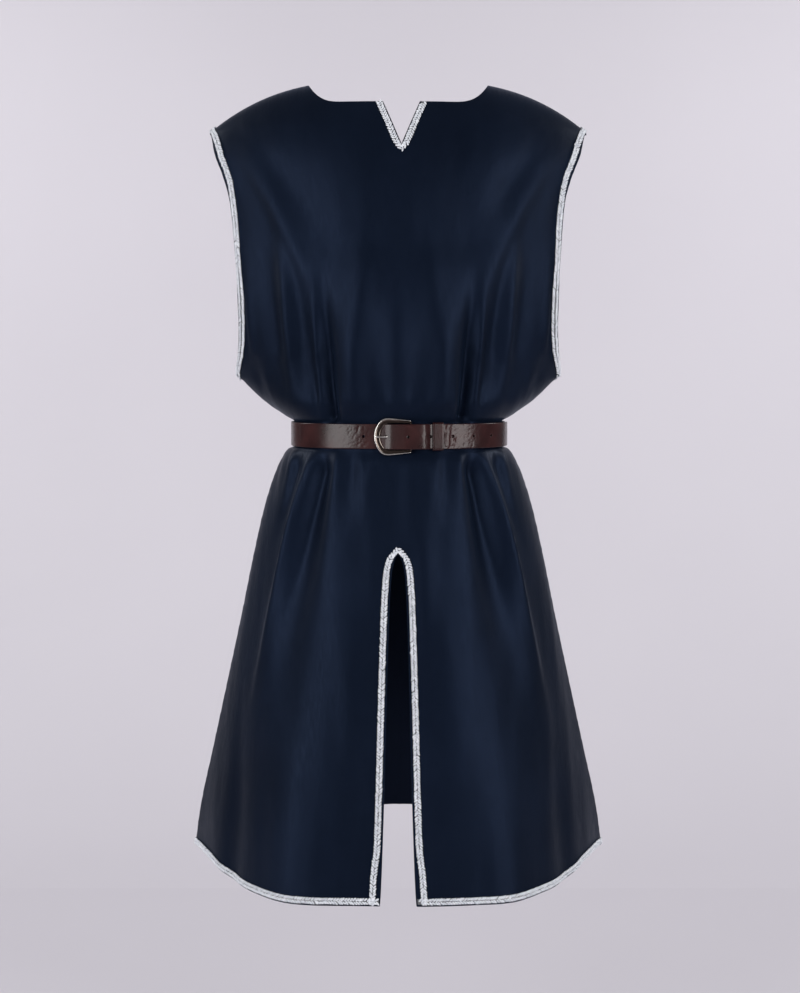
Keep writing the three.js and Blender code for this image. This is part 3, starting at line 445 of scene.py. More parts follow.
def column_list(panel):
    inner = [d / BRAID_REACH for d in EDGE_STEPS]
    middle = np.linspace(1, panel["columns"] - 1, (panel["columns"] - 2) * panel["split"] + 1)
    outer = [panel["columns"] - d / BRAID_REACH for d in SIDE_STEPS]
    return np.concatenate([inner, middle, outer])


# The middle rows are levels: where each stretch starts, and how many rows it has.
SKIRT_ROWS = 88
MIDDLE_ROWS = ((SLIT_TOP, 17), (-507, 20), (-446, 12), (-413, 28), (ARMHOLE_FOOT, 10), (-325, 34))


def middle_levels():
    ends = [start for start, _ in MIDDLE_ROWS[1:]] + [CHEST_LEVEL]
    parts = [
        np.linspace(start, end, count, endpoint=False) for (start, count), end in zip(MIDDLE_ROWS, ends)
    ]
    return np.concatenate(parts)


def hem_heights():
    return np.concatenate([EDGE_STEPS, np.linspace(BRAID_REACH, SKIRT_SPAN, SKIRT_ROWS, endpoint=False)])


ARCH_EVEN_END = 8.6  # the rows of the arches lie evenly up to this one
ARCH_EVEN_ROWS = 56
ARCH_ROW_BETWEEN = 8.75
TOP_STEPS = (4.6, 3.3, 2.2, 1.4, 0.8, 0.35, 0)  # distances from the shoulder seam
TOP_SPAN = 100  # the depth of the arches that these distances are a share of


def arch_rows():
    even = np.linspace(0, ARCH_EVEN_END, ARCH_EVEN_ROWS)
    near_top = ARCH_ROWS * (1 - (2 / math.pi) * (np.array(TOP_STEPS) / TOP_SPAN) ** (ARCH_POWER / 2))
    rows = np.concatenate([even, [ARCH_ROW_BETWEEN], near_top])
    for marked in (NOTCH_ROW - 1, NOTCH_ROW):
        rows[np.argmin(np.abs(rows - marked))] = marked
    return rows


def notch_half(z):
    return NOTCH_HALF * np.clip((z - NOTCH_TIP) / (NOTCH_TOP - NOTCH_TIP), 0, 1)


SHIFT_START = -230  # the centre line starts to lean towards the notch here


def middle_shift(z):
    return NOTCH_SHIFT * smooth((z - SHIFT_START) / (NOTCH_TIP - SHIFT_START))


def inner_edge(side, sign, z):
    if side == "back":
        return 0 * z
    slit = slit_at(SLIT_TOP - z)
    return np.where(z < SLIT_TOP, slit, sign * middle_shift(z) + notch_half(z))


def column_distance(k, columns, start, length):
    inner, outer = start + BRAID_REACH, length - BRAID_REACH
    middle = lerp(inner, outer, (k - 1) / (columns - 2))
    first = lerp(start, inner, k)
    last = lerp(outer, length, k - (columns - 1))
    return np.where(k < 1, first, np.where(k > columns - 1, last, middle))


def place(side, sign, x, depth, z, push, lean):
    outward = -1 if side == "front" else 1
    return np.stack([
        sign * (x + push * np.sin(lean)),
        outward * (depth + SEAM_HALF_GAP + push * np.cos(lean)),
        np.broadcast_to(z, np.shape(x)),
    ], axis=-1)


def level_row(side, sign, z, k):
    """One row of points. `z` holds a level for each column."""
    panel = PANELS[side]
    level = float(np.mean(z))
    arc = Arc(side, level)
    inner = float(inner_edge(side, sign, np.array(level)))
    start = math.copysign(float(arc.along_at(inner)), inner)
    along = column_distance(k, panel["columns"], start, arc.length)
    across = arc.across_at(along)
    depth = section_depth(side, z, across)
    push = fold_push(MAIN_FOLDS[side], level, arc, np.abs(along), sign)
    fine = fold_push(FINE_FOLDS[side], level, arc, np.abs(along), sign)
    calm = side_calm(level, arc.length - along)
    push, fine = push * calm, fine * calm
    if level <= ARMHOLE_FOOT:
        fine = fine - seam_dip(level, depth + SEAM_HALF_GAP)
    fine = fine + small_relief(side, sign, level, along, arc.length)
    lean = np.arcsin(np.clip(across, -1, 1))
    points = place(side, sign, across * half_at(z), depth, z, push + fine, lean)
    return points, sign * along


def arch_turn(x, z):
    height = np.clip((z - CHEST_LEVEL) / (shoulder_top(x) - CHEST_LEVEL), 0, 1)
    return np.arcsin(height ** (ARCH_POWER / 2)) / (math.pi / 2)


def arch_height(turn):
    return np.sin(turn * math.pi / 2) ** (2 / ARCH_POWER)


def arch_level(x, height):
    return lerp(CHEST_LEVEL, shoulder_top(x), height)


def top_across(side, sign, k):
    """Where a column meets the neckline or the shoulder seam."""
    panel = PANELS[side]
    columns, neck = panel["columns"], panel["neck_column"]
    inner = NOTCH_HALF + sign * NOTCH_SHIFT if side == "front" else 0
    crowd = 1 - (1 - np.clip((k - 1) / (neck - 1), 0, 1)) ** 2
    over_neck = lerp(inner + BRAID_REACH, NECK_HALF, crowd)
    edge = SHOULDER_HALF - BRAID_REACH
    seam = lerp(NECK_HALF, edge, (k - neck) / (columns - 1 - neck))
    last = lerp(edge, SHOULDER_HALF, k - (columns - 1))
    first = inner + BRAID_REACH * k
    return np.where(k < 1, first, np.where(k <= neck, over_neck, np.where(k > columns - 1, last, seam)))


def arch_depth(side, x, z):
    across = np.clip(x / half_at(z), -1, 1)
    height = np.clip((z - CHEST_LEVEL) / (shoulder_top(x) - CHEST_LEVEL), 0, 1)
    closing = (1 - height**ARCH_POWER) ** (1 / ARCH_POWER)
    return section_depth(side, CHEST_LEVEL, np.abs(across)) * closing


NOTCH_TURN = arch_turn(NOTCH_HALF, NOTCH_TOP)
TIP_SHARE = arch_turn(0, NOTCH_TIP) / NOTCH_TURN
UNDER_TIP_SHARE = arch_turn(0, NOTCH_TIP - NOTCH_BRAID_DROP) / NOTCH_TURN


def arch_share(side, row, top_x):
    even = row / ARCH_ROWS
    if side == "back":
        return even + 0 * top_x
    by_notch = np.interp(row, [0, NOTCH_ROW - 1, NOTCH_ROW, ARCH_ROWS], [0, UNDER_TIP_SHARE, TIP_SHARE, 1])
    return lerp(by_notch, even, smooth(top_x / NECK_HALF))


def arch_place(side, sign, row, k, chest, bottom):
    """Across, height and x of the points of a row on the arches over the shoulders."""
    panel = PANELS[side]
    top_x = top_across(side, sign, k)
    over_neck = k < panel["neck_column"]
    top_turn = np.where(over_neck, arch_turn(top_x, neckline(side, top_x)), 1)
    height = arch_height(arch_share(side, row, top_x) * top_turn)
    across = lerp(chest.across_at(bottom), top_x / SHOULDER_HALF, smooth(row / ARCH_ROWS))
    return across, height, across * half_at(arch_level(top_x, height))


def arch_row(side, sign, row, k):
    panel = PANELS[side]
    chest = Arc(side, CHEST_LEVEL)
    inner = float(inner_edge(side, sign, np.array(float(CHEST_LEVEL))))
    start = math.copysign(float(chest.along_at(inner)), inner)
    bottom = column_distance(k, panel["columns"], start, chest.length)
    across, height, x = arch_place(side, sign, row, k, chest, bottom)
    if side == "front":
        edge = inner_edge(side, sign, arch_level(NOTCH_HALF, height))
        second = column_distance(np.array([2.0]), panel["columns"], start, chest.length)
        _, _, second_x = arch_place(side, sign, row, np.array([2.0]), chest, second)
        near = np.where(k < 1, edge + k * BRAID_REACH, lerp(edge + BRAID_REACH, second_x[0], k - 1))
        x = np.where(k < 2, near, x)
    z = arch_level(x, height)
    along = chest.along_at(np.clip(x / half_at(z), -1, 1) * chest.half) * np.where(x < 0, -1, 1)
    upright = (1 - height**ARCH_POWER) ** (1 / ARCH_POWER)
    level = float(np.mean(z))
    push = np.array([
        sum(fold_push(folds[side], float(z_one), chest, np.array([abs(a)]), sign)[0]
            for folds in (MAIN_FOLDS, FINE_FOLDS))
        for z_one, a in zip(z, along)
    ])
    push = push + small_relief(side, sign, level, along, chest.length)
    lean = np.arcsin(np.clip(across, -1, 1))
    depth = arch_depth(side, x, z)
    points = place(side, sign, x, depth, z, push * upright, lean)
    dip = seam_dip(x, depth + SEAM_HALF_GAP) * (k >= panel["neck_column"])
    points[:, 2] -= dip
    return points, sign * along


SEAM_ALLOWANCE = (2.5, 5.5, 9)  # the cloth turned in behind a seam


EASED_REACH = 26  # how far above and below the armhole's foot the cloth's turn is eased
EASED_PASSES = 34


def eased(points, k, columns):
    """Rounds the cloth's turn at the level of the armhole's foot, except near the side."""
    level = np.abs(points[:, 0, 2] - ARMHOLE_FOOT) / EASED_REACH
    share = smooth(1.6 * (1 - level))[:, None] * smooth((columns - 0.6 - k) / 3)[None, :]
    soft = points.copy()
    for _ in range(EASED_PASSES):
        middle = (soft[:-2] + 2 * soft[1:-1] + soft[2:]) / 4
        soft[1:-1] = lerp(soft[1:-1], middle, share[1:-1, :, None])
    return soft


def half_grid(side, sign):
    """Points, and distances along the cloth, of one half of a panel, with its seam allowances."""
    panel = PANELS[side]
    k = column_list(panel)
    share = k / panel["columns"]
    rows = []
    for height in hem_heights():
        z = lerp(hem_rise[side](share) - LENGTH, SLIT_TOP, height / SKIRT_SPAN)
        rows.append(level_row(side, sign, z, k))
    for level in middle_levels():
        rows.append(level_row(side, sign, np.full(len(k), level), k))
    for row in arch_rows():
        if row == 0:
            rows.append(level_row(side, sign, np.full(len(k), float(CHEST_LEVEL)), k))
        else:
            rows.append(arch_row(side, sign, row, k))
    points = eased(np.stack([p for p, _ in rows]), k, panel["columns"])
    along = np.stack([a for _, a in rows])
    marks = panel_marks(side)
    extra = len(SEAM_ALLOWANCE)
    grid = np.full((len(rows) + extra, len(k) + extra, 3), np.nan)
    grid[: len(rows), : len(k)] = points
    plane = -SEAM_HALF_GAP if side == "front" else SEAM_HALF_GAP
    for i, depth in enumerate(SEAM_ALLOWANCE):
        sideways = points[: marks["foot"] + 1, -1].copy()
        sideways[:, 0] -= sign * depth
        sideways[:, 1] = plane
        grid[: marks["foot"] + 1, len(k) + i] = sideways
        down = points[-1, marks["neck"] :].copy()
        to_armhole = SHOULDER_HALF - np.abs(down[:, 0])
        down[:, 2] -= depth * (0.08 + 0.92 * smooth((to_armhole - 8) / 40))
        down[:, 1] = plane
        grid[len(rows) + i, marks["neck"] : len(k)] = down
    run = np.zeros(grid.shape[:2])
    run[: len(rows), : len(k)] = along
    run[:, len(k) :] = run[:, len(k) - 1 : len(k)] + sign * np.array(SEAM_ALLOWANCE)
    run[len(rows) :] = run[len(rows) - 1]
    return grid, run


def panel_marks(side):
    """Numbers of the rows and columns that have a name."""
    panel = PANELS[side]
    hem = len(hem_heights())
    middle = middle_levels()
    arches = arch_rows()
    k = column_list(panel)
    return {
        "head": hem,
        "foot": hem + int(np.argmin(np.abs(middle - ARMHOLE_FOOT))),
        "chest": hem + len(middle),
        "tip": hem + len(middle) + int(np.argmin(np.abs(arches - NOTCH_ROW))),
        "top": hem + len(middle) + len(arches) - 1,
        "neck": int(np.argmin(np.abs(k - panel["neck_column"]))),
        "last": len(k) - 1,
    }


class PanelFace:
    """The outer face of a panel: its grids, points, quads and normals."""

    def __init__(self, side):
        self.side = side
        self.marks = panel_marks(side)
        grids = {sign: half_grid(side, sign) for sign in (-1, 1)}
        self.grids = {sign: grid for sign, (grid, _) in grids.items()}
        self.number = {}
        points, runs = [], []
        for sign in (-1, 1):
            grid, run = grids[sign]
            there = ~np.isnan(grid[..., 0])
            if sign == 1:
                for row in range(self.marks["top"] + 1):
                    if not self.open(row):
                        there[row, 0] = False
            number = np.full(grid.shape[:2], -1)
            number[there] = np.arange(there.sum()) + len(points)
            points.extend(grid[there])
            runs.extend(run[there])
            if sign == 1:
                for row in range(self.marks["top"] + 1):
                    if not self.open(row):
                        number[row, 0] = self.number[-1][row, 0]
            self.number[sign] = number
        self.points = np.array(points)
        self.run = np.array(runs)
        self.quads = np.concatenate([self.half_quads(sign) for sign in (-1, 1)])
        self.normals = vertex_normals(self.points, self.quads)

    def open(self, row):
        return self.side == "front" and (row < self.marks["head"] or row > self.marks["tip"])

    def half_quads(self, sign):
        n = self.number[sign]
        corners = [n[:-1, :-1], n[:-1, 1:], n[1:, 1:], n[1:, :-1]]
        quads = np.stack(corners, axis=-1).reshape(-1, 4)
        quads = quads[(quads >= 0).all(axis=1)]
        turned = (sign == 1) == (self.side == "front")
        return quads if turned else quads[:, ::-1]


def vertex_normals(points, quads):
    a, b, c, d = (points[quads[:, i]] for i in range(4))
    face = np.cross(c - a, d - b)
    normals = np.zeros_like(points)
    for i in range(4):
        np.add.at(normals, quads[:, i], face)
    return normals / np.linalg.norm(normals, axis=1, keepdims=True)


def free_edges(quads):
    """Directed edges that only one quad has."""
    edges = np.concatenate([quads[:, [i, (i + 1) % 4]] for i in range(4)])
    known = set(map(tuple, edges.tolist()))
    return [(p, q) for p, q in known if (q, p) not in known]


RIM_TURNS = (45, 90, 135)  # steps round a cut edge, in degrees


def cloth_wall(points, normals, quads, thick):
    """A sheet with an inner face and rounded rims. Returns points, faces, and the source of each point."""
    count = len(points)
    edges = sorted(free_edges(quads))
    outward = np.zeros_like(points)
    for p, q in edges:
        away = np.cross(points[q] - points[p], normals[p])
        outward[p] += away
        outward[q] += away
    rim = sorted({p for edge in edges for p in edge})
    size = np.linalg.norm(outward[rim], axis=1, keepdims=True)
    away = outward[rim] / size
    middle = points[rim] - normals[rim] * thick / 2
    layers = [points, points - normals * thick]
    for turn in RIM_TURNS:
        angle = math.radians(turn)
        layers.append(middle + thick / 2 * (math.cos(angle) * normals[rim] + math.sin(angle) * away))
    everything = np.concatenate(layers)
    source = np.concatenate([np.arange(count), np.arange(count)] + [np.array(rim)] * len(RIM_TURNS))
    at = {p: i for i, p in enumerate(rim)}
    faces = quads.tolist() + (quads[:, ::-1] + count).tolist()
    for p, q in edges:
        ring_p = [p] + [2 * count + j * len(rim) + at[p] for j in range(len(RIM_TURNS))] + [p + count]
        ring_q = [q] + [2 * count + j * len(rim) + at[q] for j in range(len(RIM_TURNS))] + [q + count]
        for j in range(len(ring_p) - 1):
            faces.append((ring_q[j], ring_p[j], ring_p[j + 1], ring_q[j + 1]))
    return everything, faces, source


# ---------------------------------------------------------------- making meshes
def mesh_object(name, points, faces, materials, uv=None, slots=None):
    mesh = bpy.data.meshes.new(name)
    mesh.from_pydata((np.asarray(points) * MM).tolist(), [], [tuple(f) for f in faces])
    mesh.polygons.foreach_set("use_smooth", np.ones(len(mesh.polygons), bool))
    for material in materials:
        mesh.materials.append(material)
    if slots is not None:
        mesh.polygons.foreach_set("material_index", np.asarray(slots, np.int32))
    if uv is not None:
        corner = np.empty(len(mesh.loops), np.int32)
        mesh.loops.foreach_get("vertex_index", corner)
        layer = mesh.uv_layers.new(name="lay")
        layer.data.foreach_set("uv", (np.asarray(uv)[corner] * MM).astype(np.float32).ravel())
    mesh.update()
    piece = bpy.data.objects.new(name, mesh)
    bpy.context.scene.collection.objects.link(piece)
    return piece


def ring_faces(rings, sides, closed=False, flipped=False):
    """Faces between rings of points, and over both ends unless the last ring joins the first."""
    i = np.arange(rings if closed else rings - 1)[:, None]
    j = np.arange(sides)[None]
    near, far, after = i * sides, (i + 1) % rings * sides, (j + 1) % sides
    corners = [near + j, near + after, far + after, far + j]
    if flipped:
        corners = corners[:1] + corners[:0:-1]
    faces = [tuple(f) for f in np.stack(corners, axis=-1).reshape(-1, 4).tolist()]
    if not closed:
        first, last = tuple(range(sides)), tuple(range((rings - 1) * sides, rings * sides))
        faces += [first, last[::-1]] if flipped else [first[::-1], last]
    return faces


def joined(parts):
    """One list of points and one of faces from those of several parts."""
    points, faces, shift = [], [], 0
    for part_points, part_faces in parts:
        points.append(part_points)
        faces.extend(tuple(v + shift for v in f) for f in part_faces)
        shift += len(part_points)
    return np.concatenate(points), faces


def finish_piece(piece, node):
    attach(piece, "root")
    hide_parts(node)
    return piece


def make_panel(face, material):
    points, faces, source = cloth_wall(face.points, face.normals, face.quads, CLOTH)
    uv = np.stack([face.run[source], points[:, 2]], axis=1)
    piece = mesh_object("tunic_" + face.side, points, faces, [material], uv)
    return finish_piece(piece, "panel_" + face.side)


# ---------------------------------------------------------------- braid
SHOULDER_MARGIN = 3.2  # the armhole's braid lies further in from the edge near the shoulder
SHOULDER_MARGIN_LEVELS = (-150, -56)
FOOT_SPREAD = 3.6  # the armhole's braid lies wider where it turns round the foot
FOOT_SPREAD_LEVELS = (-372, -215)
SLIT_MARGIN = 0.9  # further in from the slit's edges
CORNER_MARGIN = 3  # and still further in above the hem
CORNER_LEVELS = (-1030, -905)
BRAID_LIFT = 0.25
RIBBON_THICK = 0.9
GRAIN_LENGTH = 5.6
GRAIN_WIDTH = 2.4
GRAIN_THICK = 2.3
GRAIN_PITCH = 3.3
GRAIN_LEAN = 42
GRAIN_OFFSET = 0.5  # of the half width, from the braid's middle
GRAIN_STARTS = ((-1, 0.3), (1, 0.8))  # each row's side, and the place of its first grain in pitches
GRAIN_SEAT = RIBBON_THICK * 0.55 + GRAIN_THICK * 0.28  # from the ribbon's underside to a grain's middle
# How much grains differ: in place by pitch, offset, lean in degrees, size by share, and lift.
SCATTER_PLACE = 0.07
SCATTER_OFFSET = 0.035
SCATTER_LEAN = 5
SCATTER_SIZE = 0.06
SCATTER_LIFT = 0.06


class Rails:
    """The outer edge, middle and inner edge of a braid, with the cloth's normals."""

    def __init__(self):
        self.rows = []

    def add(self, face, sign, cells):
        """cells holds, for each step, the grid numbers of the three rail points."""
        for three in cells:
            numbers = [face.number[sign][row, column] for row, column in three]
            self.rows.append((face.points[numbers], face.normals[numbers[1]]))

    def add_rows(self, face, sign, rows, columns):
        """Steps along a grid's rows, with the rail points in three of its columns."""
        self.add(face, sign, [[(row, column) for column in columns] for row in rows])

    def add_point(self, points, normal):
        self.rows.append((np.array(points, float), np.array(normal, float)))

    def set_in(self, depth, levels, only_inner=False):
        """Moves the braid, or only its inner edge, in from the cloth's edge between two levels."""
        low, high = levels
        for points, _ in self.rows:
            share = (points[1, 2] - low) / (high - low)
            across = points[2] - points[0]
            shift = across / np.linalg.norm(across) * depth * smooth(share * 3) * smooth((1 - share) * 3)
            if only_inner:
                points[1] += shift / 2
                points[2] += shift
            else:
                points += shift

    def resampled(self, step, passes):
        rails = np.stack([points for points, _ in self.rows])
        normals = np.stack([normal for _, normal in self.rows])
        rails, normals = even_steps(rails, normals, step)
        for _ in range(passes):
            rails[1:-1] = (rails[:-2] + 2 * rails[1:-1] + rails[2:]) / 4
            normals[1:-1] = (normals[:-2] + 2 * normals[1:-1] + normals[2:]) / 4
        rails, normals = even_steps(rails, normals, step)
        return rails, normals / np.linalg.norm(normals, axis=1, keepdims=True)


def even_steps(rails, normals, step):
    gaps = np.linalg.norm(np.diff(rails[:, 1], axis=0), axis=1)
    along = np.concatenate([[0], np.cumsum(gaps)])
    wanted = np.linspace(0, along[-1], max(2, int(round(along[-1] / step)) + 1))
    flat = np.concatenate([rails.reshape(len(rails), -1), normals], axis=1)
    out = np.stack([np.interp(wanted, along, flat[:, i]) for i in range(flat.shape[1])], axis=1)
    return out[:, :9].reshape(-1, 3, 3), out[:, 9:]


def grain_shape():
    """One grain of gimp cord along X, on the XY plane: points, faces and coordinates for its twist."""
    sides, rings = 8, 5
    points, faces, uv = [(-0.5, 0, 0)], [], [(0, 0)]
    for i in range(rings):
        x = -math.cos(math.pi * (i + 1) / (rings + 1)) / 2
        radius = (1 - (2 * x) ** 2) ** 0.42 / 2
        for j in range(sides):
            angle = 2 * math.pi * j / sides
            points.append((x, radius * math.cos(angle), radius * math.sin(angle)))
            uv.append((x + 0.5, j / sides))
    points.append((0.5, 0, 0))
    uv.append((1, 0))
    last = len(points) - 1
    for j in range(sides):
        k = (j + 1) % sides
        faces.append((0, 1 + k, 1 + j))
        faces.append((last, last - sides + j, last - sides + k))
        for i in range(rings - 1):
            a, b = 1 + i * sides + j, 1 + i * sides + k
            faces.append((a, b, b + sides, a + sides))
    return np.array(points), faces, np.array(uv)


GRAIN = grain_shape()


def along_rails(rails, normals, at, offset):
    """Point, direction and normal at fractional steps along a braid, `offset` from -1 to 1 across it."""
    i = np.clip(np.floor(at).astype(int), 0, len(rails) - 2)
    t = (at - i)[:, None]
    row = lerp(rails[i], rails[i + 1], t[:, :, None])
    normal = lerp(normals[i], normals[i + 1], t)
    normal /= np.linalg.norm(normal, axis=1, keepdims=True)
    outer, middle, inner = row[:, 0], row[:, 1], row[:, 2]
    w = offset[:, None]
    point = np.where(w < 0, lerp(middle, outer, -w), lerp(middle, inner, w))
    ahead = rails[i + 1, 1] - rails[i, 1]
    ahead -= normal * (ahead * normal).sum(axis=1, keepdims=True)
    ahead /= np.linalg.norm(ahead, axis=1, keepdims=True)
    return point, ahead, normal


def braid_grains(rails, normals, step, seed):
    """Two rows of grains that lean away from each other, a little unevenly."""
    draw = np.random.default_rng(seed)
    length = (len(rails) - 1) * step
    count = int(length / GRAIN_PITCH)
    spots, sides = [], []
    for side, start in GRAIN_STARTS:
        spots.append((np.arange(count) + start) * GRAIN_PITCH / step)
        sides.append(np.full(count, side))
    spots, sides = np.concatenate(spots), np.concatenate(sides)
    spots = spots + draw.normal(0, SCATTER_PLACE, len(spots)) * GRAIN_PITCH / step
    spots = np.clip(spots, 0, len(rails) - 1.001)
    offset = sides * (GRAIN_OFFSET + draw.normal(0, SCATTER_OFFSET, len(spots)))
    point, ahead, normal = along_rails(rails, normals, spots, offset)
    across = np.cross(normal, ahead)
    lean = np.radians(GRAIN_LEAN + draw.normal(0, SCATTER_LEAN, len(spots))) * sides
    x_axis = ahead * np.cos(lean)[:, None] + across * np.sin(lean)[:, None]
    y_axis = np.cross(normal, x_axis)
    size = draw.normal(1, SCATTER_SIZE, (len(spots), 3)) * [GRAIN_LENGTH, GRAIN_WIDTH, GRAIN_THICK]
    lift = BRAID_LIFT + GRAIN_SEAT
    point = point + normal * (lift + draw.normal(0, SCATTER_LIFT, (len(spots), 1)))
    template, faces, uv = GRAIN
    frames = np.stack([x_axis * size[:, :1], y_axis * size[:, 1:2], normal * size[:, 2:]], axis=1)
    points = np.einsum("vk,nkd->nvd", template, frames) + point[:, None]
    faces = np.array([f if len(f) == 4 else (*f, -1) for f in faces])
    shift = np.arange(len(spots))[:, None, None] * len(template)
    every = np.where(faces[None] < 0, -1, faces[None] + shift).reshape(-1, 4)
    every = [tuple(f) if f[3] >= 0 else tuple(f[:3]) for f in every.tolist()]
    twist = np.tile(uv, (len(spots), 1)) * [GRAIN_LENGTH, GRAIN_WIDTH * 3]
    return points.reshape(-1, 3), every, twist


# Round the ribbon: share of the half width, and share of its thickness.
RIBBON_SECTION = (
    (-0.8, 0.1), (-0.76, 0.6), (-0.5, 0.9), (0, 0.6), (0.5, 0.9), (0.76, 0.6), (0.8, 0.1), (0, 0),
)
RIBBON_UV_DROP = 100  # the ribbon's second coordinate is below 0, by which its material is darkened: painted shade under and between the grains


def braid_ribbon(rails, normals):
    """The flat tape that carries the grains."""
    count = len(rails)
    at = np.clip(np.arange(count, dtype=float), 0, count - 1.001)
    rings = []
    for offset, height in RIBBON_SECTION:
        point, _, normal = along_rails(rails, normals, at, np.full(count, float(offset)))
        rings.append(point + normal * (BRAID_LIFT + height * RIBBON_THICK))
    points = np.stack(rings, axis=1)
    sides = len(RIBBON_SECTION)
    run = np.repeat(np.arange(count, dtype=float), sides)
    uv = np.stack([run, np.tile(np.linspace(0, 8, sides), count) - RIBBON_UV_DROP], axis=1)
    return points.reshape(-1, 3), ring_faces(count, sides), uv


RAIL_STEP = 1.3


def braid_object(name, rail_list, material, seed):
    parts = []
    for number, (rails, smoothing) in enumerate(rail_list):
        line, normals = rails.resampled(RAIL_STEP, smoothing)
        parts += [braid_ribbon(line, normals), braid_grains(line, normals, RAIL_STEP, seed + number)]
    points, faces = joined([part[:2] for part in parts])
    return mesh_object(name, points, faces, [material], np.concatenate([part[2] for part in parts]))


# A braid's outer edge, middle and inner edge: distances from the cloth's edge, the grid rows of the hem,
# the grid columns of a panel's inner edge, and those of its outer edge, counted from the last one.
RAIL_PLACES = (BRAID_MARGIN, BRAID_MIDDLE, BRAID_REACH)
HEM_RAILS = (1, 3, 5)
INNER_COLUMNS = (1, 3, 5)
OUTER_COLUMNS = (2, 6, 8)
NOTCH_ROWS_LEFT = 3  # rows between the notch's braid and the neckline
UNDERARM_TURN = (0.94, -0.34)  # which way the cloth faces under the armhole: out and up


def hem_rails(front, back):
    rails = Rails()
    for face, sign, inward in ((front, -1, False), (back, -1, True), (back, 1, False), (front, 1, True)):
        columns = list(range(1 if face is front else 0, face.marks["last"] - 3))
        if inward:
            columns = columns[::-1]
        cells = [[(row, column) for row in HEM_RAILS] for column in columns]
        rails.add(face, sign, cells[1:] if face is back and not inward else cells)
    return rails


def slit_rails(front):
    rails = Rails()
    rows = range(1, front.marks["head"])
    rails.add_rows(front, -1, rows, INNER_COLUMNS)
    number = front.number[1][front.marks["head"], 0]
    y = front.points[number][1]
    rails.add_point([(0, y, SLIT_TOP + height) for height in RAIL_PLACES], front.normals[number])
    rails.add_rows(front, 1, rows[::-1], INNER_COLUMNS)
    rails.set_in(SLIT_MARGIN, (-2 * LENGTH, LENGTH))
    rails.set_in(CORNER_MARGIN, CORNER_LEVELS)
    return rails


def notch_rails(front):
    rails = Rails()
    rows = range(front.marks["top"] - NOTCH_ROWS_LEFT, front.marks["tip"], -1)
    rails.add_rows(front, -1, rows, INNER_COLUMNS)
    number = front.number[1][front.marks["tip"], 0]
    rails.add_point([front.points[number] - (0, 0, drop) for drop in RAIL_PLACES], front.normals[number])
    rails.add_rows(front, 1, rows[::-1], INNER_COLUMNS)
    return rails


def armhole_rails(front, back, sign):
    rails = Rails()
    for face, downward in ((front, True), (back, False)):
        rows = range(face.marks["foot"] + 1, face.marks["top"] + 1)
        columns = [face.marks["last"] - steps for steps in OUTER_COLUMNS]
        rails.add_rows(face, sign, rows[::-1] if downward else rows, columns)
        if downward:
            below = [ARMHOLE_FOOT - place for place in RAIL_PLACES]
            points = [(sign * float(half_at(np.array(float(z)))), 0, z) for z in below]
            rails.add_point(points, (sign * UNDERARM_TURN[0], 0, UNDERARM_TURN[1]))
    rails.set_in(SHOULDER_MARGIN, SHOULDER_MARGIN_LEVELS)
    rails.set_in(FOOT_SPREAD, FOOT_SPREAD_LEVELS, only_inner=True)
    return rails


def make_braids(front, back, material):
    plans = [
        ("gimp_hem_and_slit", "braid_hem_and_slit",
         [(hem_rails(front, back), 6), (slit_rails(front), 5)], 50),
        ("gimp_notch", "braid_neck_notch", [(notch_rails(front), 3)], 60),
        ("gimp_armhole_left", "braid_armhole_left", [(armhole_rails(front, back, 1), 4)], 70),
        ("gimp_armhole_right", "braid_armhole_right", [(armhole_rails(front, back, -1), 4)], 80),
    ]
    return [finish_piece(braid_object(name, rails, material, seed), node)
            for name, node, rails, seed in plans]


# ---------------------------------------------------------------- belt
class BeltLine:
    """The waist line: distance along it runs from the centre front towards +X."""

    STEPS = 96

    def __init__(self):
        quarters = {}
        for side in ("front", "back"):
            arc = Arc(side, BELT_MID)
            across = arc.across_at(arc.length * np.arange(self.STEPS) / self.STEPS)
            quarters[side] = (across * arc.half, section_depth(side, BELT_MID, across))
        half_width = float(half_at(np.array(float(BELT_MID))))
        front = np.stack([quarters["front"][0], -quarters["front"][1]], axis=1)
        back = np.stack([quarters["back"][0], quarters["back"][1]], axis=1)[::-1]
        half = np.concatenate([front, [(half_width, 0)], back])
        other = half[1:-1][::-1] * (-1, 1)
        loop = np.concatenate([half, other, half[:1]])
        gaps = np.linalg.norm(np.diff(loop, axis=0), axis=1)
        self.along = np.concatenate([[0], np.cumsum(gaps)])
        self.total = self.along[-1]
        self.loop = loop
        run = np.roll(loop[:-1], -1, axis=0) - np.roll(loop[:-1], 1, axis=0)
        run = run / np.linalg.norm(run, axis=1, keepdims=True)
        self.run = np.concatenate([run, run[:1]])

    def at(self, s, out):
        s = np.mod(s, self.total)
        x, y, rx, ry = (
            np.interp(s, self.along, column) for column in (*self.loop.T, *self.run.T)
        )
        size = np.hypot(rx, ry)
        return np.stack([x + out * ry / size, y - out * rx / size], axis=-1)


belt = BeltLine()

LAYER = STRAP + 0.35
LAYER_1 = 2 + STRAP / 2
LAYER_2 = LAYER_1 + LAYER
BAR_PLACE = 15.3
BAR_RADIUS = 1.3
BAR_PLAY = 0.65
CURL = BAR_RADIUS + BAR_PLAY + STRAP / 2
BAR_OUT = LAYER_1 + CURL
OVER_BAR = LAYER_1 + 2 * CURL
FOLD_END = 30
HOLE_FIRST = -41.3
HOLE_PITCH = 26.5
HOLE_COUNT = 7
HOLE_RADIUS = 1.75
FREE_END = 193

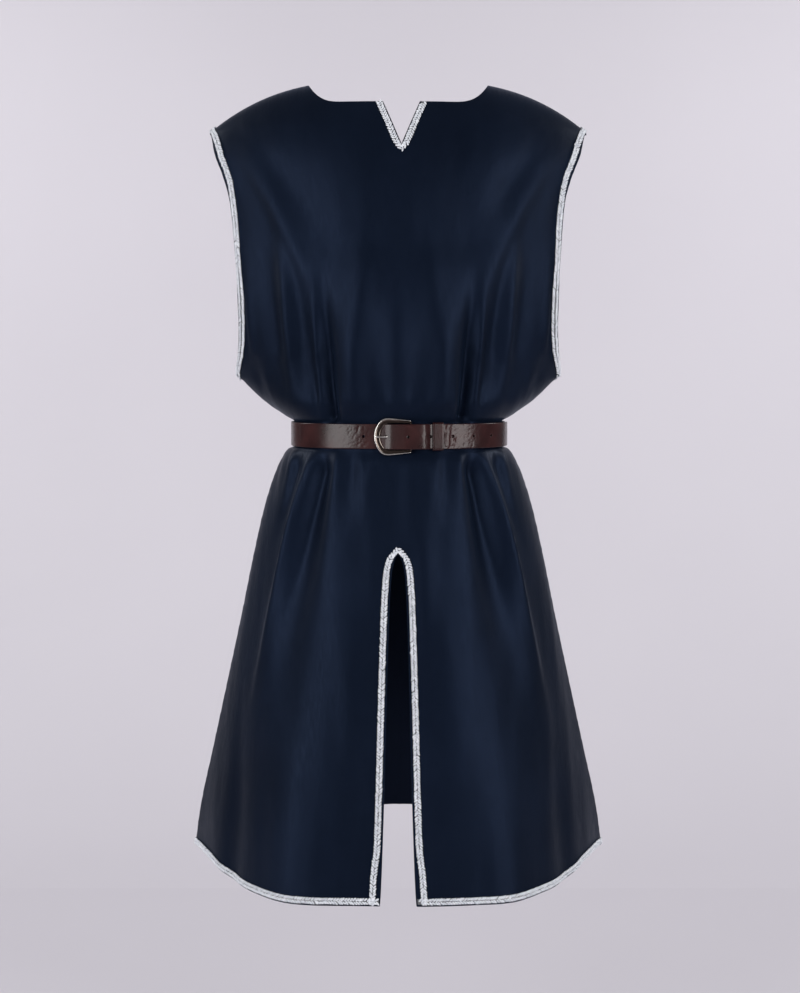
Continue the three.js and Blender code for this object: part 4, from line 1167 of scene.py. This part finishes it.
# The free end comes out from under the frame's round end, climbs over the bar, then lies on the fold
# and on the strap.
FREE_OUT = table("s out", [
    (-40, LAYER_1), (-24, LAYER_1 + 0.1), (-20.5, 3.9), (-17, 5.6), (-14, 7.2), (-9, 9.0), (-3, 9.9),
    (4, 10.7), (10, OVER_BAR + LAYER), (24, OVER_BAR + LAYER), (29.5, 10.9), (32.5, 9.7), (35, 7.9),
    (37.3, 6.3), (39.3, 5.7), (41, 5.5), (44, LAYER_2 + 0.1), (54, LAYER_2 + 0.1), (64, LAYER_2 + 0.5),
    (76, LAYER_2 + 0.2), (FREE_END, LAYER_2),
])
free_out = curve(FREE_OUT["s"], FREE_OUT["out"])


def spaced(start, end, step):
    count = max(1, int(round(abs(end - start) / step)))
    return np.linspace(start, end, count + 1)


CURL_STEPS = 14
SIDE_START = -130  # the strap's finer stretches start here, and
FREE_START = -30  # at the frame's round end, and
PLAIN_START = 130.5  # past the last crease, where it is plain again


def strap_path():
    """The strap's centre line, with each point's distance along the belt line and whether it is free."""
    parts = []

    def lay(s, out, kind):
        parts.append((belt.at(s, out), s, np.full(len(s), kind)))

    fold = spaced(FOLD_END, BAR_PLACE + 1, 0.9)
    lay(fold, lerp(OVER_BAR, LAYER_2, smooth((fold - BAR_PLACE) / 12)), 0)
    turn = -math.pi / 2 - np.arange(1, CURL_STEPS) / CURL_STEPS * math.pi
    centre = belt.at(np.array([BAR_PLACE]), np.array([BAR_OUT]))[0]
    curl = centre + CURL * np.stack([np.cos(turn), np.sin(turn)], axis=1)
    parts.append((curl, np.full(len(curl), BAR_PLACE), np.zeros(len(curl))))
    under = spaced(BAR_PLACE + 1, belt.total + SIDE_START - 1, 3.4)
    lay(under, np.full(len(under), LAYER_1), 0)
    side = spaced(SIDE_START, FREE_START - 1, 0.95)
    lay(side, np.full(len(side), LAYER_1), 1)
    for free in (spaced(FREE_START, PLAIN_START - 2.5, 0.75), spaced(PLAIN_START, FREE_END, 1.6)):
        lay(free, free_out(free), 1)
    points, s, kind = (np.concatenate([part[i] for part in parts]) for i in range(3))
    return points, s, kind


STRAP_EDGE = 0.75  # how far the strap's edges round over
TIP_LENGTH = 24
TIP_POWERS = (2.6, 0.55)
TIP_END = 0.02  # the width left at the very tip, as a share


def strip_section(width, thick, edge, count, turns):
    """Round a strip of leather whose edges are rounded: pairs of height and thickness."""
    flat = width / 2 - edge
    bend = np.radians(turns)
    face = np.stack([np.linspace(-flat, flat, count), np.full(count, thick / 2)], axis=1)
    over = np.stack([flat + edge * np.sin(bend), thick / 2 * np.cos(bend)], axis=1)
    return np.concatenate([face, over, -face, -over])


# Creases pressed into the leather: the middle and half width of each zone along the belt, how many
# creases it has, their depth, and how steeply they lean.
CREASE_ZONES = (
    (33, 4, 12, 0.16, 1.3), (61, 10, 60, 0.22, 0.8), (86, 12, 36, 0.12, 0.7), (-50, 19, 70, 0.11, 0.9),
)
CREASE_WIDTH = 1.0


def crease_lines():
    """Short creases at random places of their zones: place, height, direction, half length and depth."""
    draw = np.random.default_rng(91)
    rows = []
    for middle, reach, count, depth, lean in CREASE_ZONES:
        place = middle + reach * draw.normal(0, 0.6, count)
        height = draw.uniform(-BELT_WIDTH / 2, BELT_WIDTH / 2, count)
        angle = draw.normal(lean, 0.35, count)
        long, deep = draw.uniform(2, 5.5, count), depth * draw.uniform(0.5, 1.2, count)
        rows.append(np.stack([place, height, angle, long, deep], axis=1))
    return np.concatenate(rows)


def leather_relief(s, z, kind):
    """Creases of the strap's face where it has been bent often, and its slow waves."""
    total = 0.10 * np.sin(s / 11 + z / 17) + 0.06 * np.sin(z / 6 + s / 23)
    for place, height, angle, long, depth in crease_lines():
        run = (s - place) * math.cos(angle) + (z - height) * math.sin(angle)
        off = (z - height) * math.cos(angle) - (s - place) * math.sin(angle)
        off = off + 0.5 * np.sin(run * 1.1 + place)
        total = total - depth * np.exp(-((off / CREASE_WIDTH) ** 2) - (run / long) ** 4)
    return total * kind


def sweep(path, section, narrow, closed=False, relief=None):
    """Sweeps a section, given as (height, thickness) pairs, along a path in the XY plane."""
    before = np.roll(path, 1, axis=0)
    after = np.roll(path, -1, axis=0)
    if not closed:
        before[0], after[-1] = path[0], path[-1]
    run = after - before
    run /= np.linalg.norm(run, axis=1, keepdims=True)
    out = np.stack([run[:, 1], -run[:, 0]], axis=1)
    height = section[None, :, 0] * narrow[:, None]
    thick = np.broadcast_to(section[None, :, 1], height.shape).copy()
    if relief is not None:
        thick = thick + relief(height)
    points = np.empty((*height.shape, 3))
    points[..., :2] = path[:, None] + out[:, None] * thick[..., None]
    points[..., 2] = height
    return points.reshape(-1, 3), ring_faces(*height.shape, closed, flipped=True)


def belt_frame(s, out):
    """A frame standing on the belt: X along it, Y up and Z out of it. In millimetres."""
    here, below = belt.at(np.array([s, s]), np.array([out, out - 1.0]))
    away = Vector((*(here - below), 0)).normalized()
    up = Vector((0, 0, 1))
    along = up.cross(away)
    turn = Matrix((along, up, away)).transposed().to_4x4()
    return Matrix.Translation((*here, BELT_MID)) @ turn


def in_frame(points, matrix):
    turned = np.array([list(row) for row in matrix])
    return np.asarray(points) @ turned[:3, :3].T + turned[:3, 3]


HOLE_SIDES = 20


HOLE_CUTTER_HALF = 1.9


def hole_cutter(matrix):
    """A rod across the strap."""
    angle = np.linspace(0, 2 * math.pi, HOLE_SIDES, endpoint=False)
    ring = HOLE_RADIUS * np.stack([np.cos(angle), np.sin(angle)], axis=1)
    ends = [np.column_stack([ring, np.full(HOLE_SIDES, h)]) for h in (-HOLE_CUTTER_HALF, HOLE_CUTTER_HALF)]
    faces = [tuple(range(HOLE_SIDES))[::-1], tuple(range(HOLE_SIDES, 2 * HOLE_SIDES))]
    for i in range(HOLE_SIDES):
        j = (i + 1) % HOLE_SIDES
        faces.append((i, j, j + HOLE_SIDES, i + HOLE_SIDES))
    return in_frame(np.concatenate(ends), matrix), faces


def cut_away(piece, cutters):
    """Cuts closed shapes, given as points and faces, out of a piece."""
    cutter = mesh_object("cutter", *joined(cutters), [])
    boolean = piece.modifiers.new("holes", "BOOLEAN")
    boolean.operation = "DIFFERENCE"
    boolean.solver = "EXACT"
    boolean.object = cutter
    apply_modifiers(piece)
    bpy.data.objects.remove(cutter)


def apply_modifiers(piece):
    graph = bpy.context.evaluated_depsgraph_get()
    made = bpy.data.meshes.new_from_object(piece.evaluated_get(graph))
    piece.modifiers.clear()
    piece.data = made


def make_strap(material):
    """The strap, creased on its free end's face and cut through at its holes."""
    path, s, kind = strap_path()
    left = FREE_END - s
    taper = np.clip(left / TIP_LENGTH, 0, 1)
    narrow = np.where(kind > 0, (1 - (1 - taper) ** TIP_POWERS[0]) ** TIP_POWERS[1], 1)
    narrow = np.maximum(narrow, TIP_END)
    section = strip_section(BELT_WIDTH, STRAP, STRAP_EDGE, 27, (30, 60, 90, 120, 150))

    def relief(height):
        shape = np.where(section[None, :, 1] > 0.9 * STRAP / 2, 1.0, 0.0)
        return leather_relief(s[:, None], height, kind[:, None]) * shape

    points, faces = sweep(path, section, narrow, relief=relief)
    points[:, 2] += BELT_MID
    round_section = np.cumsum(np.linalg.norm(np.diff(section, axis=0, prepend=section[:1]), axis=1))
    uv = np.stack([np.repeat(s, len(section)), np.tile(round_section, len(path))], axis=1)
    piece = mesh_object("strap", points, faces, [material], uv)
    holes = HOLE_FIRST + HOLE_PITCH * np.arange(HOLE_COUNT)
    cut_away(piece, [hole_cutter(belt_frame(hole, float(free_out(hole)))) for hole in holes])
    return finish_piece(piece, "belt_strap")


KEEPER_PLACE = 47.1
KEEPER_WIDTH = 13.4
KEEPER_THICK = 1.5
KEEPER_INNER = 0.45
KEEPER_PLAY = 0.5
KEEPER_EDGE = 0.6
KEEPER_CORNER = 2.1


def make_keeper(material):
    """A leather loop round both layers of the strap."""
    high = LAYER_2 + STRAP / 2 + KEEPER_PLAY + KEEPER_THICK / 2
    low = KEEPER_INNER + KEEPER_THICK / 2
    tall = BELT_WIDTH / 2 + KEEPER_PLAY + KEEPER_THICK / 2
    corner = KEEPER_CORNER
    path = []
    for cx, cy, start in (
        (high - corner, tall - corner, 90), (low + corner, tall - corner, 180),
        (low + corner, corner - tall, 270), (high - corner, corner - tall, 360),
    ):
        for degrees in np.linspace(start - 90, start, 7):
            angle = math.radians(degrees)
            path.append((cx + corner * math.cos(angle), cy + corner * math.sin(angle)))
    path = np.array(path)[::-1]
    section = strip_section(KEEPER_WIDTH, KEEPER_THICK, KEEPER_EDGE, 9, RIM_TURNS)
    path = fill_path(path, 1.2)
    points, faces = sweep(path, section, np.ones(len(path)), closed=True)
    # the sweep's plane is out and up, and its height runs along the belt
    turned = np.stack([points[:, 2], points[:, 1], points[:, 0]], axis=1)
    uv = np.stack([turned[:, 0], turned[:, 1] + turned[:, 2]], axis=1)
    placed = in_frame(turned, belt_frame(KEEPER_PLACE, 0.0))
    piece = mesh_object("keeper", placed, [f[::-1] for f in faces], [material], uv)
    return finish_piece(piece, "belt_keeper")


def fill_path(path, step):
    """Adds points on the long sides of a closed path."""
    out = []
    for a, b in zip(path, np.roll(path, -1, axis=0)):
        count = max(1, int(np.linalg.norm(b - a) / step))
        out.extend(lerp(a, b, i / count) for i in range(count))
    return np.array(out)


# ---------------------------------------------------------------- buckle
# The frame's outline and window, by share of the way from the upper rail's tip to the lower one's:
# only the upper half is given, and the lower one mirrors it.
FRAME_OUTLINE = table("x y", [
    (16.4, 19.4), (8, 20.3), (0, 21.2), (-7, 22.0), (-13, 22.3), (-18, 21.2), (-22.6, 17.6), (-26, 12.2),
    (-28.2, 6.2), (-29, 0),
])
FRAME_WINDOW = table("x y", [
    (16.4, 15.7), (8, 15.75), (0, 15.8), (-6, 15.8), (-11, 15.7), (-14.6, 14.9), (-17.8, 12.3), (-20, 8.4),
    (-21.4, 4.3), (-21.9, 0),
])
FRAME_THICK = 3.0
# Across the frame from its outline (0) to its window (1): share and height.
FRAME_SECTION = (
    (0.00, 0.0), (0.01, 0.55), (0.07, 0.9), (0.16, 1.0), (0.27, 0.9), (0.4, 0.62), (0.6, 0.5), (0.8, 0.56),
    (0.93, 0.5), (0.99, 0.25), (1.00, 0.0), (0.99, -0.6), (0.9, -1.0), (0.5, -1.0), (0.1, -1.0), (0.01, -0.6),
)
FRAME_RINGS = 90
TIP_ROUND = 2.2


def rail_curve(rows, share):
    """A half outline as a smooth curve, mirrored below the belt's middle."""
    knots = np.linspace(0, 1, len(rows["x"]))
    upper = np.minimum(share, 1 - share) * 2
    x = curve_through(knots, rows["x"])(upper)
    y = curve_through(knots, rows["y"])(upper)
    return np.stack([x, np.where(share <= 0.5, y, -y)], axis=-1)


def frame_shape():
    """The frame's points and faces, and how far each point lies from its rim (0) to its window (1)."""
    share = np.linspace(0, 1, FRAME_RINGS)
    outer, inner = rail_curve(FRAME_OUTLINE, share), rail_curve(FRAME_WINDOW, share)
    middle = (outer + inner) / 2
    gaps = np.linalg.norm(np.diff(middle, axis=0), axis=1)
    along = np.concatenate([[0], np.cumsum(gaps)])
    to_tip = np.minimum(along, along[-1] - along)
    plump = np.sqrt(1 - (1 - np.clip(to_tip / TIP_ROUND, 0.02, 1)) ** 2)
    rings = []
    for w, h in FRAME_SECTION:
        flat = lerp(outer, inner, w)
        flat = middle + (flat - middle) * plump[:, None]
        rings.append(np.column_stack([flat, h * FRAME_THICK / 2 * plump]))
    points = np.stack(rings, axis=1)
    faces = ring_faces(FRAME_RINGS, len(FRAME_SECTION), flipped=True)
    share = np.tile([w for w, _ in FRAME_SECTION], FRAME_RINGS)
    return points.reshape(-1, 3), faces, share


def tube(route, radii, sides=14):
    """A round bar along a route of points, with its own radius at each."""
    route = np.asarray(route, float)
    run = np.gradient(route, axis=0)
    run /= np.linalg.norm(run, axis=1, keepdims=True)
    guide = np.array((0.0, 1.0, 0.0)) if abs(run[0][1]) < 0.7 else np.array((1.0, 0.0, 0.0))
    points = []
    for at, ahead, radius in zip(route, run, radii):
        side = np.cross(ahead, guide)
        side /= np.linalg.norm(side)
        up = np.cross(side, ahead)
        for j in range(sides):
            angle = 2 * math.pi * j / sides
            points.append(at + radius[0] * math.cos(angle) * side + radius[1] * math.sin(angle) * up)
    return np.array(points), ring_faces(len(route), sides)


BELT_BEND = 0.2
BAR_HALF = 17.6
TONGUE_RINGS = 46
COLLAR_RINGS = 29
COLLAR_OFF = 0.9  # the tongue's collar lies this far off the bar
COLLAR_RADII = (0.6, 1.7)
# Where the bar and the tongue lie in the metal's tones, which run from the frame's rim to its window.
# The rim's bright tone and the window edge's lighter one are painted highlights; the tongue takes the rim's.
BAR_TONE_SHARE = 0.5
TONGUE_HIGHLIGHT_SHARE = 0.16
# The tongue's route from the bar, under the strap, up through its hole and onto the frame.
TONGUE_ROUTE = table("x out wide thick", [
    (15.3, 5.95, 1.6, 1.0), (10, 6.0, 1.6, 1.0), (2, 6.3, 1.5, 1.05), (-6, 6.9, 1.4, 1.1),
    (-11.5, 7.5, 1.25, 1.1), (-15, 8.2, 1.2, 1.1), (-19, 8.75, 1.25, 1.1), (-23.5, 8.8, 1.35, 1.0),
    (-26.6, 8.6, 1.25, 0.85), (-27.9, 8.35, 0.75, 0.5), (-28.3, 8.2, 0.2, 0.15),
])


def make_buckle(material):
    plane = belt_frame(0.0, -BELT_BEND)
    points, faces, share = frame_shape()
    points[:, 2] += BAR_OUT
    route = [(BAR_PLACE, y, BAR_OUT) for y in np.linspace(-BAR_HALF, BAR_HALF, 9)]
    bar = tube(route, [(BAR_RADIUS, BAR_RADIUS)] * 9)
    points, faces = joined([(points, faces), bar])
    # Each point's place in the metal's tones: the frame's rims get painted highlights, and the bar the face's
    # dark tone.
    tone_share = np.concatenate([share, np.full(len(points) - len(share), BAR_TONE_SHARE)])
    uv = np.stack([tone_share, tone_share], axis=1)
    piece = mesh_object("buckle", in_frame(points, plane), faces, [material], uv)
    return finish_piece(piece, "buckle_frame")


def make_tongue(material):
    plane = belt_frame(0.0, -BELT_BEND)
    steps = np.linspace(0, 1, TONGUE_RINGS)
    knots = np.linspace(0, 1, len(TONGUE_ROUTE["x"]))
    x, out, wide, thick = (
        curve_through(knots, TONGUE_ROUTE[name])(steps) for name in ("x", "out", "wide", "thick")
    )
    route = np.column_stack([x, 0 * x, out])
    shank = tube(route, np.column_stack([thick, wide]))
    turn = np.linspace(0, 2 * math.pi, COLLAR_RINGS)
    radius = BAR_RADIUS + COLLAR_OFF
    ring = np.column_stack([BAR_PLACE + radius * np.cos(turn), 0 * turn, BAR_OUT + radius * np.sin(turn)])
    collar = tube(ring, [COLLAR_RADII] * len(ring), 10)
    points, faces = joined([shank, collar])
    # The tongue takes the bright tone of the frame's rim: a painted highlight.
    tone_share = np.full((len(points), 2), TONGUE_HIGHLIGHT_SHARE)
    piece = mesh_object("tongue", in_frame(points, plane), faces, [material], tone_share)
    return finish_piece(piece, "buckle_tongue")


# ---------------------------------------------------------------- materials
class Nodes:
    """A short way to build a node material."""

    def __init__(self, name):
        self.material = bpy.data.materials.new(name)
        self.material.use_nodes = True
        self.tree = self.material.node_tree
        self.shader = self.tree.nodes["Principled BSDF"]

    def set(self, **values):
        for name, value in values.items():
            self.shader.inputs[name.replace("_", " ").title().replace("Ior", "IOR")].default_value = value

    def add(self, kind, links=(), **settings):
        node = self.tree.nodes.new(kind)
        for name, value in settings.items():
            if name in node.inputs.keys():
                node.inputs[name].default_value = value
            else:
                setattr(node, name, value)
        for source, target in links:
            self.tree.links.new(source, node.inputs[target])
        return node

    def link(self, source, target):
        self.tree.links.new(source, self.shader.inputs[target])


def mapped(nodes, coordinates, scale=(1, 1, 1)):
    """A piece's own coordinates ("Object") or those laid on its surface ("UV"), scaled."""
    if coordinates == "UV":
        source = nodes.add("ShaderNodeUVMap", uv_map="lay")
    else:
        source = nodes.add("ShaderNodeTexCoord")
    link = (source.outputs[coordinates], "Vector")
    return nodes.add("ShaderNodeMapping", [link], Scale=scale).outputs["Vector"]


def noise(nodes, vector, scale, detail=3.0, rough=0.55):
    settings = {"Scale": scale, "Detail": detail, "Roughness": rough}
    return nodes.add("ShaderNodeTexNoise", [(vector, "Vector")], **settings).outputs["Fac"]


def ramp(nodes, factor, stops):
    node = nodes.add("ShaderNodeValToRGB", [(factor, "Fac")])
    elements = node.color_ramp.elements
    while len(elements) < len(stops):
        elements.new(0.5)
    for element, (position, color) in zip(elements, stops):
        element.position = position
        element.color = (*color, 1)
    return node.outputs["Color"]


def math_node(nodes, operation, first, second):
    node = nodes.add("ShaderNodeMath", operation=operation)
    for i, value in enumerate((first, second)):
        if isinstance(value, (int, float)):
            node.inputs[i].default_value = value
        else:
            nodes.tree.links.new(value, node.inputs[i])
    return node.outputs[0]


def spread(nodes, value, low, high):
    """Stretches a texture's middle range, 0.3 to 0.7, to low to high."""
    settings = {"From Min": 0.3, "From Max": 0.7, "To Min": low, "To Max": high}
    return nodes.add("ShaderNodeMapRange", [(value, "Value")], **settings).outputs["Result"]


def bump(nodes, height, distance, strength=1.0, normal=None):
    node = nodes.add("ShaderNodeBump", [(height, "Height")], Distance=distance, Strength=strength)
    if normal is not None:
        nodes.tree.links.new(normal, node.inputs["Normal"])
    return node.outputs["Normal"]


def diagonal_bands(nodes, **settings):
    """Fine ribs: a weave's, or a twisted cord's."""
    vector = mapped(nodes, "UV")
    node = nodes.add("ShaderNodeTexWave", [(vector, "Vector")], bands_direction="DIAGONAL", **settings)
    return node.outputs["Fac"]


def satin_material():
    nodes = Nodes("navy_satin")
    nodes.set(metallic=0.0, sheen_weight=0.05, sheen_roughness=0.4, sheen_tint=(0.24, 0.46, 0.95, 1))
    nodes.set(specular_ior_level=0.14, specular_tint=(0.34, 0.5, 0.95, 1))
    cloudy = noise(nodes, mapped(nodes, "Object", (1, 1, 0.6)), 9.0, 4.0)
    color = ramp(nodes, cloudy, [
        (0.3, (0.0019, 0.0035, 0.0080)), (0.52, (0.0027, 0.0048, 0.0108)), (0.72, (0.0040, 0.0068, 0.0150)),
    ])
    nodes.link(color, "Base Color")
    streaks = noise(nodes, mapped(nodes, "UV", (1, 0.12, 1)), 420.0, 2.0)
    rough = spread(nodes, streaks, 0.38, 0.50)
    nodes.link(rough, "Roughness")
    weave = diagonal_bands(nodes, Scale=1150.0, Distortion=0.6, Detail=1.0)
    slubs = noise(nodes, mapped(nodes, "UV", (1, 0.1, 1)), 900.0, 2.0)
    height = math_node(nodes, "ADD", weave, slubs)
    fine = bump(nodes, height, 0.00004, 0.4)
    soft = noise(nodes, mapped(nodes, "UV", (1, 0.45, 1)), 60.0, 3.0)
    nodes.link(bump(nodes, soft, 0.0012, 0.35, fine), "Normal")
    return nodes.material


RIBBON_PAINTED_SHADE = 0.85  # how much darker the ribbon is than the grains on it: painted shade under and between the grains


def braid_material():
    nodes = Nodes("white_gimp")
    nodes.set(metallic=0.0, sheen_weight=0.35, sheen_roughness=0.5, sheen_tint=(0.95, 0.97, 1.0, 1))
    patches = noise(nodes, mapped(nodes, "Object"), 260.0, 3.0)
    color = ramp(nodes, patches, [
        (0.3, (0.54, 0.56, 0.62)), (0.5, (0.72, 0.74, 0.79)), (0.7, (0.85, 0.86, 0.90)),
    ])
    # The ribbon under the grains is darkened: painted shade between and under the grains.
    lay = nodes.add("ShaderNodeSeparateXYZ", [(mapped(nodes, "UV"), "Vector")])
    in_ribbon = math_node(nodes, "LESS_THAN", lay.outputs["Y"], 0.0)
    shade = math_node(nodes, "MULTIPLY_ADD", in_ribbon, -RIBBON_PAINTED_SHADE)
    shade.node.inputs[2].default_value = 1.0
    shaded = nodes.add("ShaderNodeVectorMath", [(color, 0)], operation="SCALE")
    nodes.tree.links.new(shade, shaded.inputs["Scale"])
    nodes.link(shaded.outputs["Vector"], "Base Color")
    twist = diagonal_bands(nodes, Scale=900.0, Distortion=1.2)
    nodes.link(spread(nodes, patches, 0.55, 0.7), "Roughness")
    nodes.link(bump(nodes, twist, 0.0002, 0.7), "Normal")
    return nodes.material


def leather_material():
    nodes = Nodes("burgundy_leather")
    nodes.set(metallic=0.0, coat_weight=0.5, coat_roughness=0.25, specular_ior_level=0.12)
    cloudy = noise(nodes, mapped(nodes, "Object"), 40.0, 4.0)
    color = ramp(nodes, cloudy, [
        (0.3, (0.0135, 0.0029, 0.0031)), (0.52, (0.022, 0.0047, 0.0049)), (0.72, (0.034, 0.0080, 0.0078)),
    ])
    nodes.link(color, "Base Color")
    grain = noise(nodes, mapped(nodes, "Object"), 900.0, 3.0)
    nodes.link(spread(nodes, cloudy, 0.26, 0.38), "Roughness")
    creases = nodes.add("ShaderNodeTexVoronoi", [(mapped(nodes, "UV", (1, 0.45, 1)), "Vector")],
                        feature="DISTANCE_TO_EDGE", Scale=330.0)
    fine = bump(nodes, grain, 0.00015, 0.5)
    nodes.link(bump(nodes, creases.outputs["Distance"], 0.0006, 0.25, fine), "Normal")
    return nodes.material


def metal_material():
    nodes = Nodes("worn_nickel_painted_highlights")
    nodes.set(metallic=1.0)
    tone_jitter = noise(nodes, mapped(nodes, "Object"), 160.0, 4.0)
    # the first coordinate runs from the frame's outer rim, 0, to its window, 1, in thousandths
    lay = nodes.add("ShaderNodeSeparateXYZ", [(mapped(nodes, "UV", (1000, 1000, 1)), "Vector")])
    uneven = math_node(nodes, "ADD", lay.outputs["X"], spread(nodes, tone_jitter, -0.05, 0.05))
    # A bright painted highlight on the outer rim, the dark face, and a lighter painted highlight at the
    # window's edge.
    color = ramp(nodes, uneven, [
        (0.13, (0.62, 0.59, 0.56)), (0.24, (0.30, 0.26, 0.23)), (0.36, (0.075, 0.055, 0.045)),
        (0.86, (0.06, 0.045, 0.04)), (0.97, (0.26, 0.22, 0.19)),
    ])
    nodes.link(color, "Base Color")
    scratches = noise(nodes, mapped(nodes, "Object", (1, 1, 0.08)), 2600.0, 2.0)
    nodes.link(spread(nodes, scratches, 0.16, 0.3), "Roughness")
    nodes.link(bump(nodes, scratches, 0.00004, 0.35), "Normal")
    return nodes.material


# ---------------------------------------------------------------- room and light
FLOOR_LEVEL = -1.45
FLOOR_HALF = 9.0
PAPER_HALF = 2.2
WALL_PLACE = 2.6
BEND = 1.5
BEND_STEP = 6
WALL_TOP = 5.0


def make_room():
    """A pale floor, and a wide paper that curves up from it into a wall behind the tunic."""
    start = WALL_PLACE - BEND
    floor = [(-FLOOR_HALF, FLOOR_LEVEL), (FLOOR_HALF, FLOOR_LEVEL)]
    paper = [(start, FLOOR_LEVEL)]
    for degrees in range(BEND_STEP, 90, BEND_STEP):
        angle = math.radians(degrees)
        paper.append((start + BEND * math.sin(angle), FLOOR_LEVEL + BEND * (1 - math.cos(angle))))
    paper += [(WALL_PLACE, FLOOR_LEVEL + BEND), (WALL_PLACE, WALL_TOP)]
    nodes = Nodes("paper")
    nodes.set(roughness=0.95, specular_ior_level=0.1)
    tone = noise(nodes, mapped(nodes, "Object"), 1.2, 2.0)
    nodes.link(ramp(nodes, tone, [(0.2, (0.60, 0.575, 0.62)), (0.8, (0.62, 0.595, 0.64))]), "Base Color")
    for name, profile, half in (("floor", floor, FLOOR_HALF), ("paper", paper, PAPER_HALF)):
        points = [(x / MM, y / MM, z / MM) for y, z in profile for x in (-half, half)]
        faces = [(2 * i, 2 * i + 1, 2 * i + 3, 2 * i + 2) for i in range(len(profile) - 1)]
        mesh_object(name, points, faces, [nodes.material])


def area_light(name, place, target, size, power):
    data = bpy.data.lights.new(name, "AREA")
    data.shape = "RECTANGLE"
    data.size, data.size_y = size
    data.energy = power
    light = bpy.data.objects.new(name, data)
    light.location = place
    light.rotation_euler = (Vector(target) - Vector(place)).to_track_quat("-Z", "Y").to_euler()
    bpy.context.scene.collection.objects.link(light)


# Name, place, target, size and power of the lights that stand on both sides, for the wearer's left.
SIDE_LIGHTS = (
    ("key", (1.68, -1.92, -0.02), (0, 0, -0.35), (1.4, 1.9), 44),
    ("wall", (2.2, 0.6, 0.8), (0.2, 2.6, -0.8), (1.2, 1.2), 38),
)
MIDDLE_LIGHTS = (
    ("top", (0, -1.6, 2.3), (0, 0, -0.3), (2.4, 1.0), 2.5),
    ("front", (0, -3.4, -0.2), (0, 0, -0.5), (2.6, 2.0), 2),
)
WORLD_COLOR = (0.93, 0.93, 1.0, 1)
WORLD_STRENGTH = 0.15


def make_lights():
    for side, ending in ((-1, "_right"), (1, "_left")):
        for name, place, target, size, power in SIDE_LIGHTS:
            place, target = ((side * x, y, z) for x, y, z in (place, target))
            area_light(name + ending, place, target, size, power)
    for light in MIDDLE_LIGHTS:
        area_light(*light)
    world = bpy.data.worlds.new("studio")
    world.use_nodes = True
    background = world.node_tree.nodes["Background"]
    background.inputs["Color"].default_value = WORLD_COLOR
    background.inputs["Strength"].default_value = WORLD_STRENGTH
    bpy.context.scene.world = world


# ---------------------------------------------------------------- the tunic
make_camera()
make_room()
make_lights()

satin, gimp, leather, nickel = satin_material(), braid_material(), leather_material(), metal_material()
front, back = PanelFace("front"), PanelFace("back")
tunic_front, tunic_back = make_panel(front, satin), make_panel(back, satin)
hem_and_slit, notch, armhole_left, armhole_right = make_braids(front, back, gimp)
make_strap(leather)
make_keeper(leather)
make_buckle(nickel)
make_tongue(nickel)
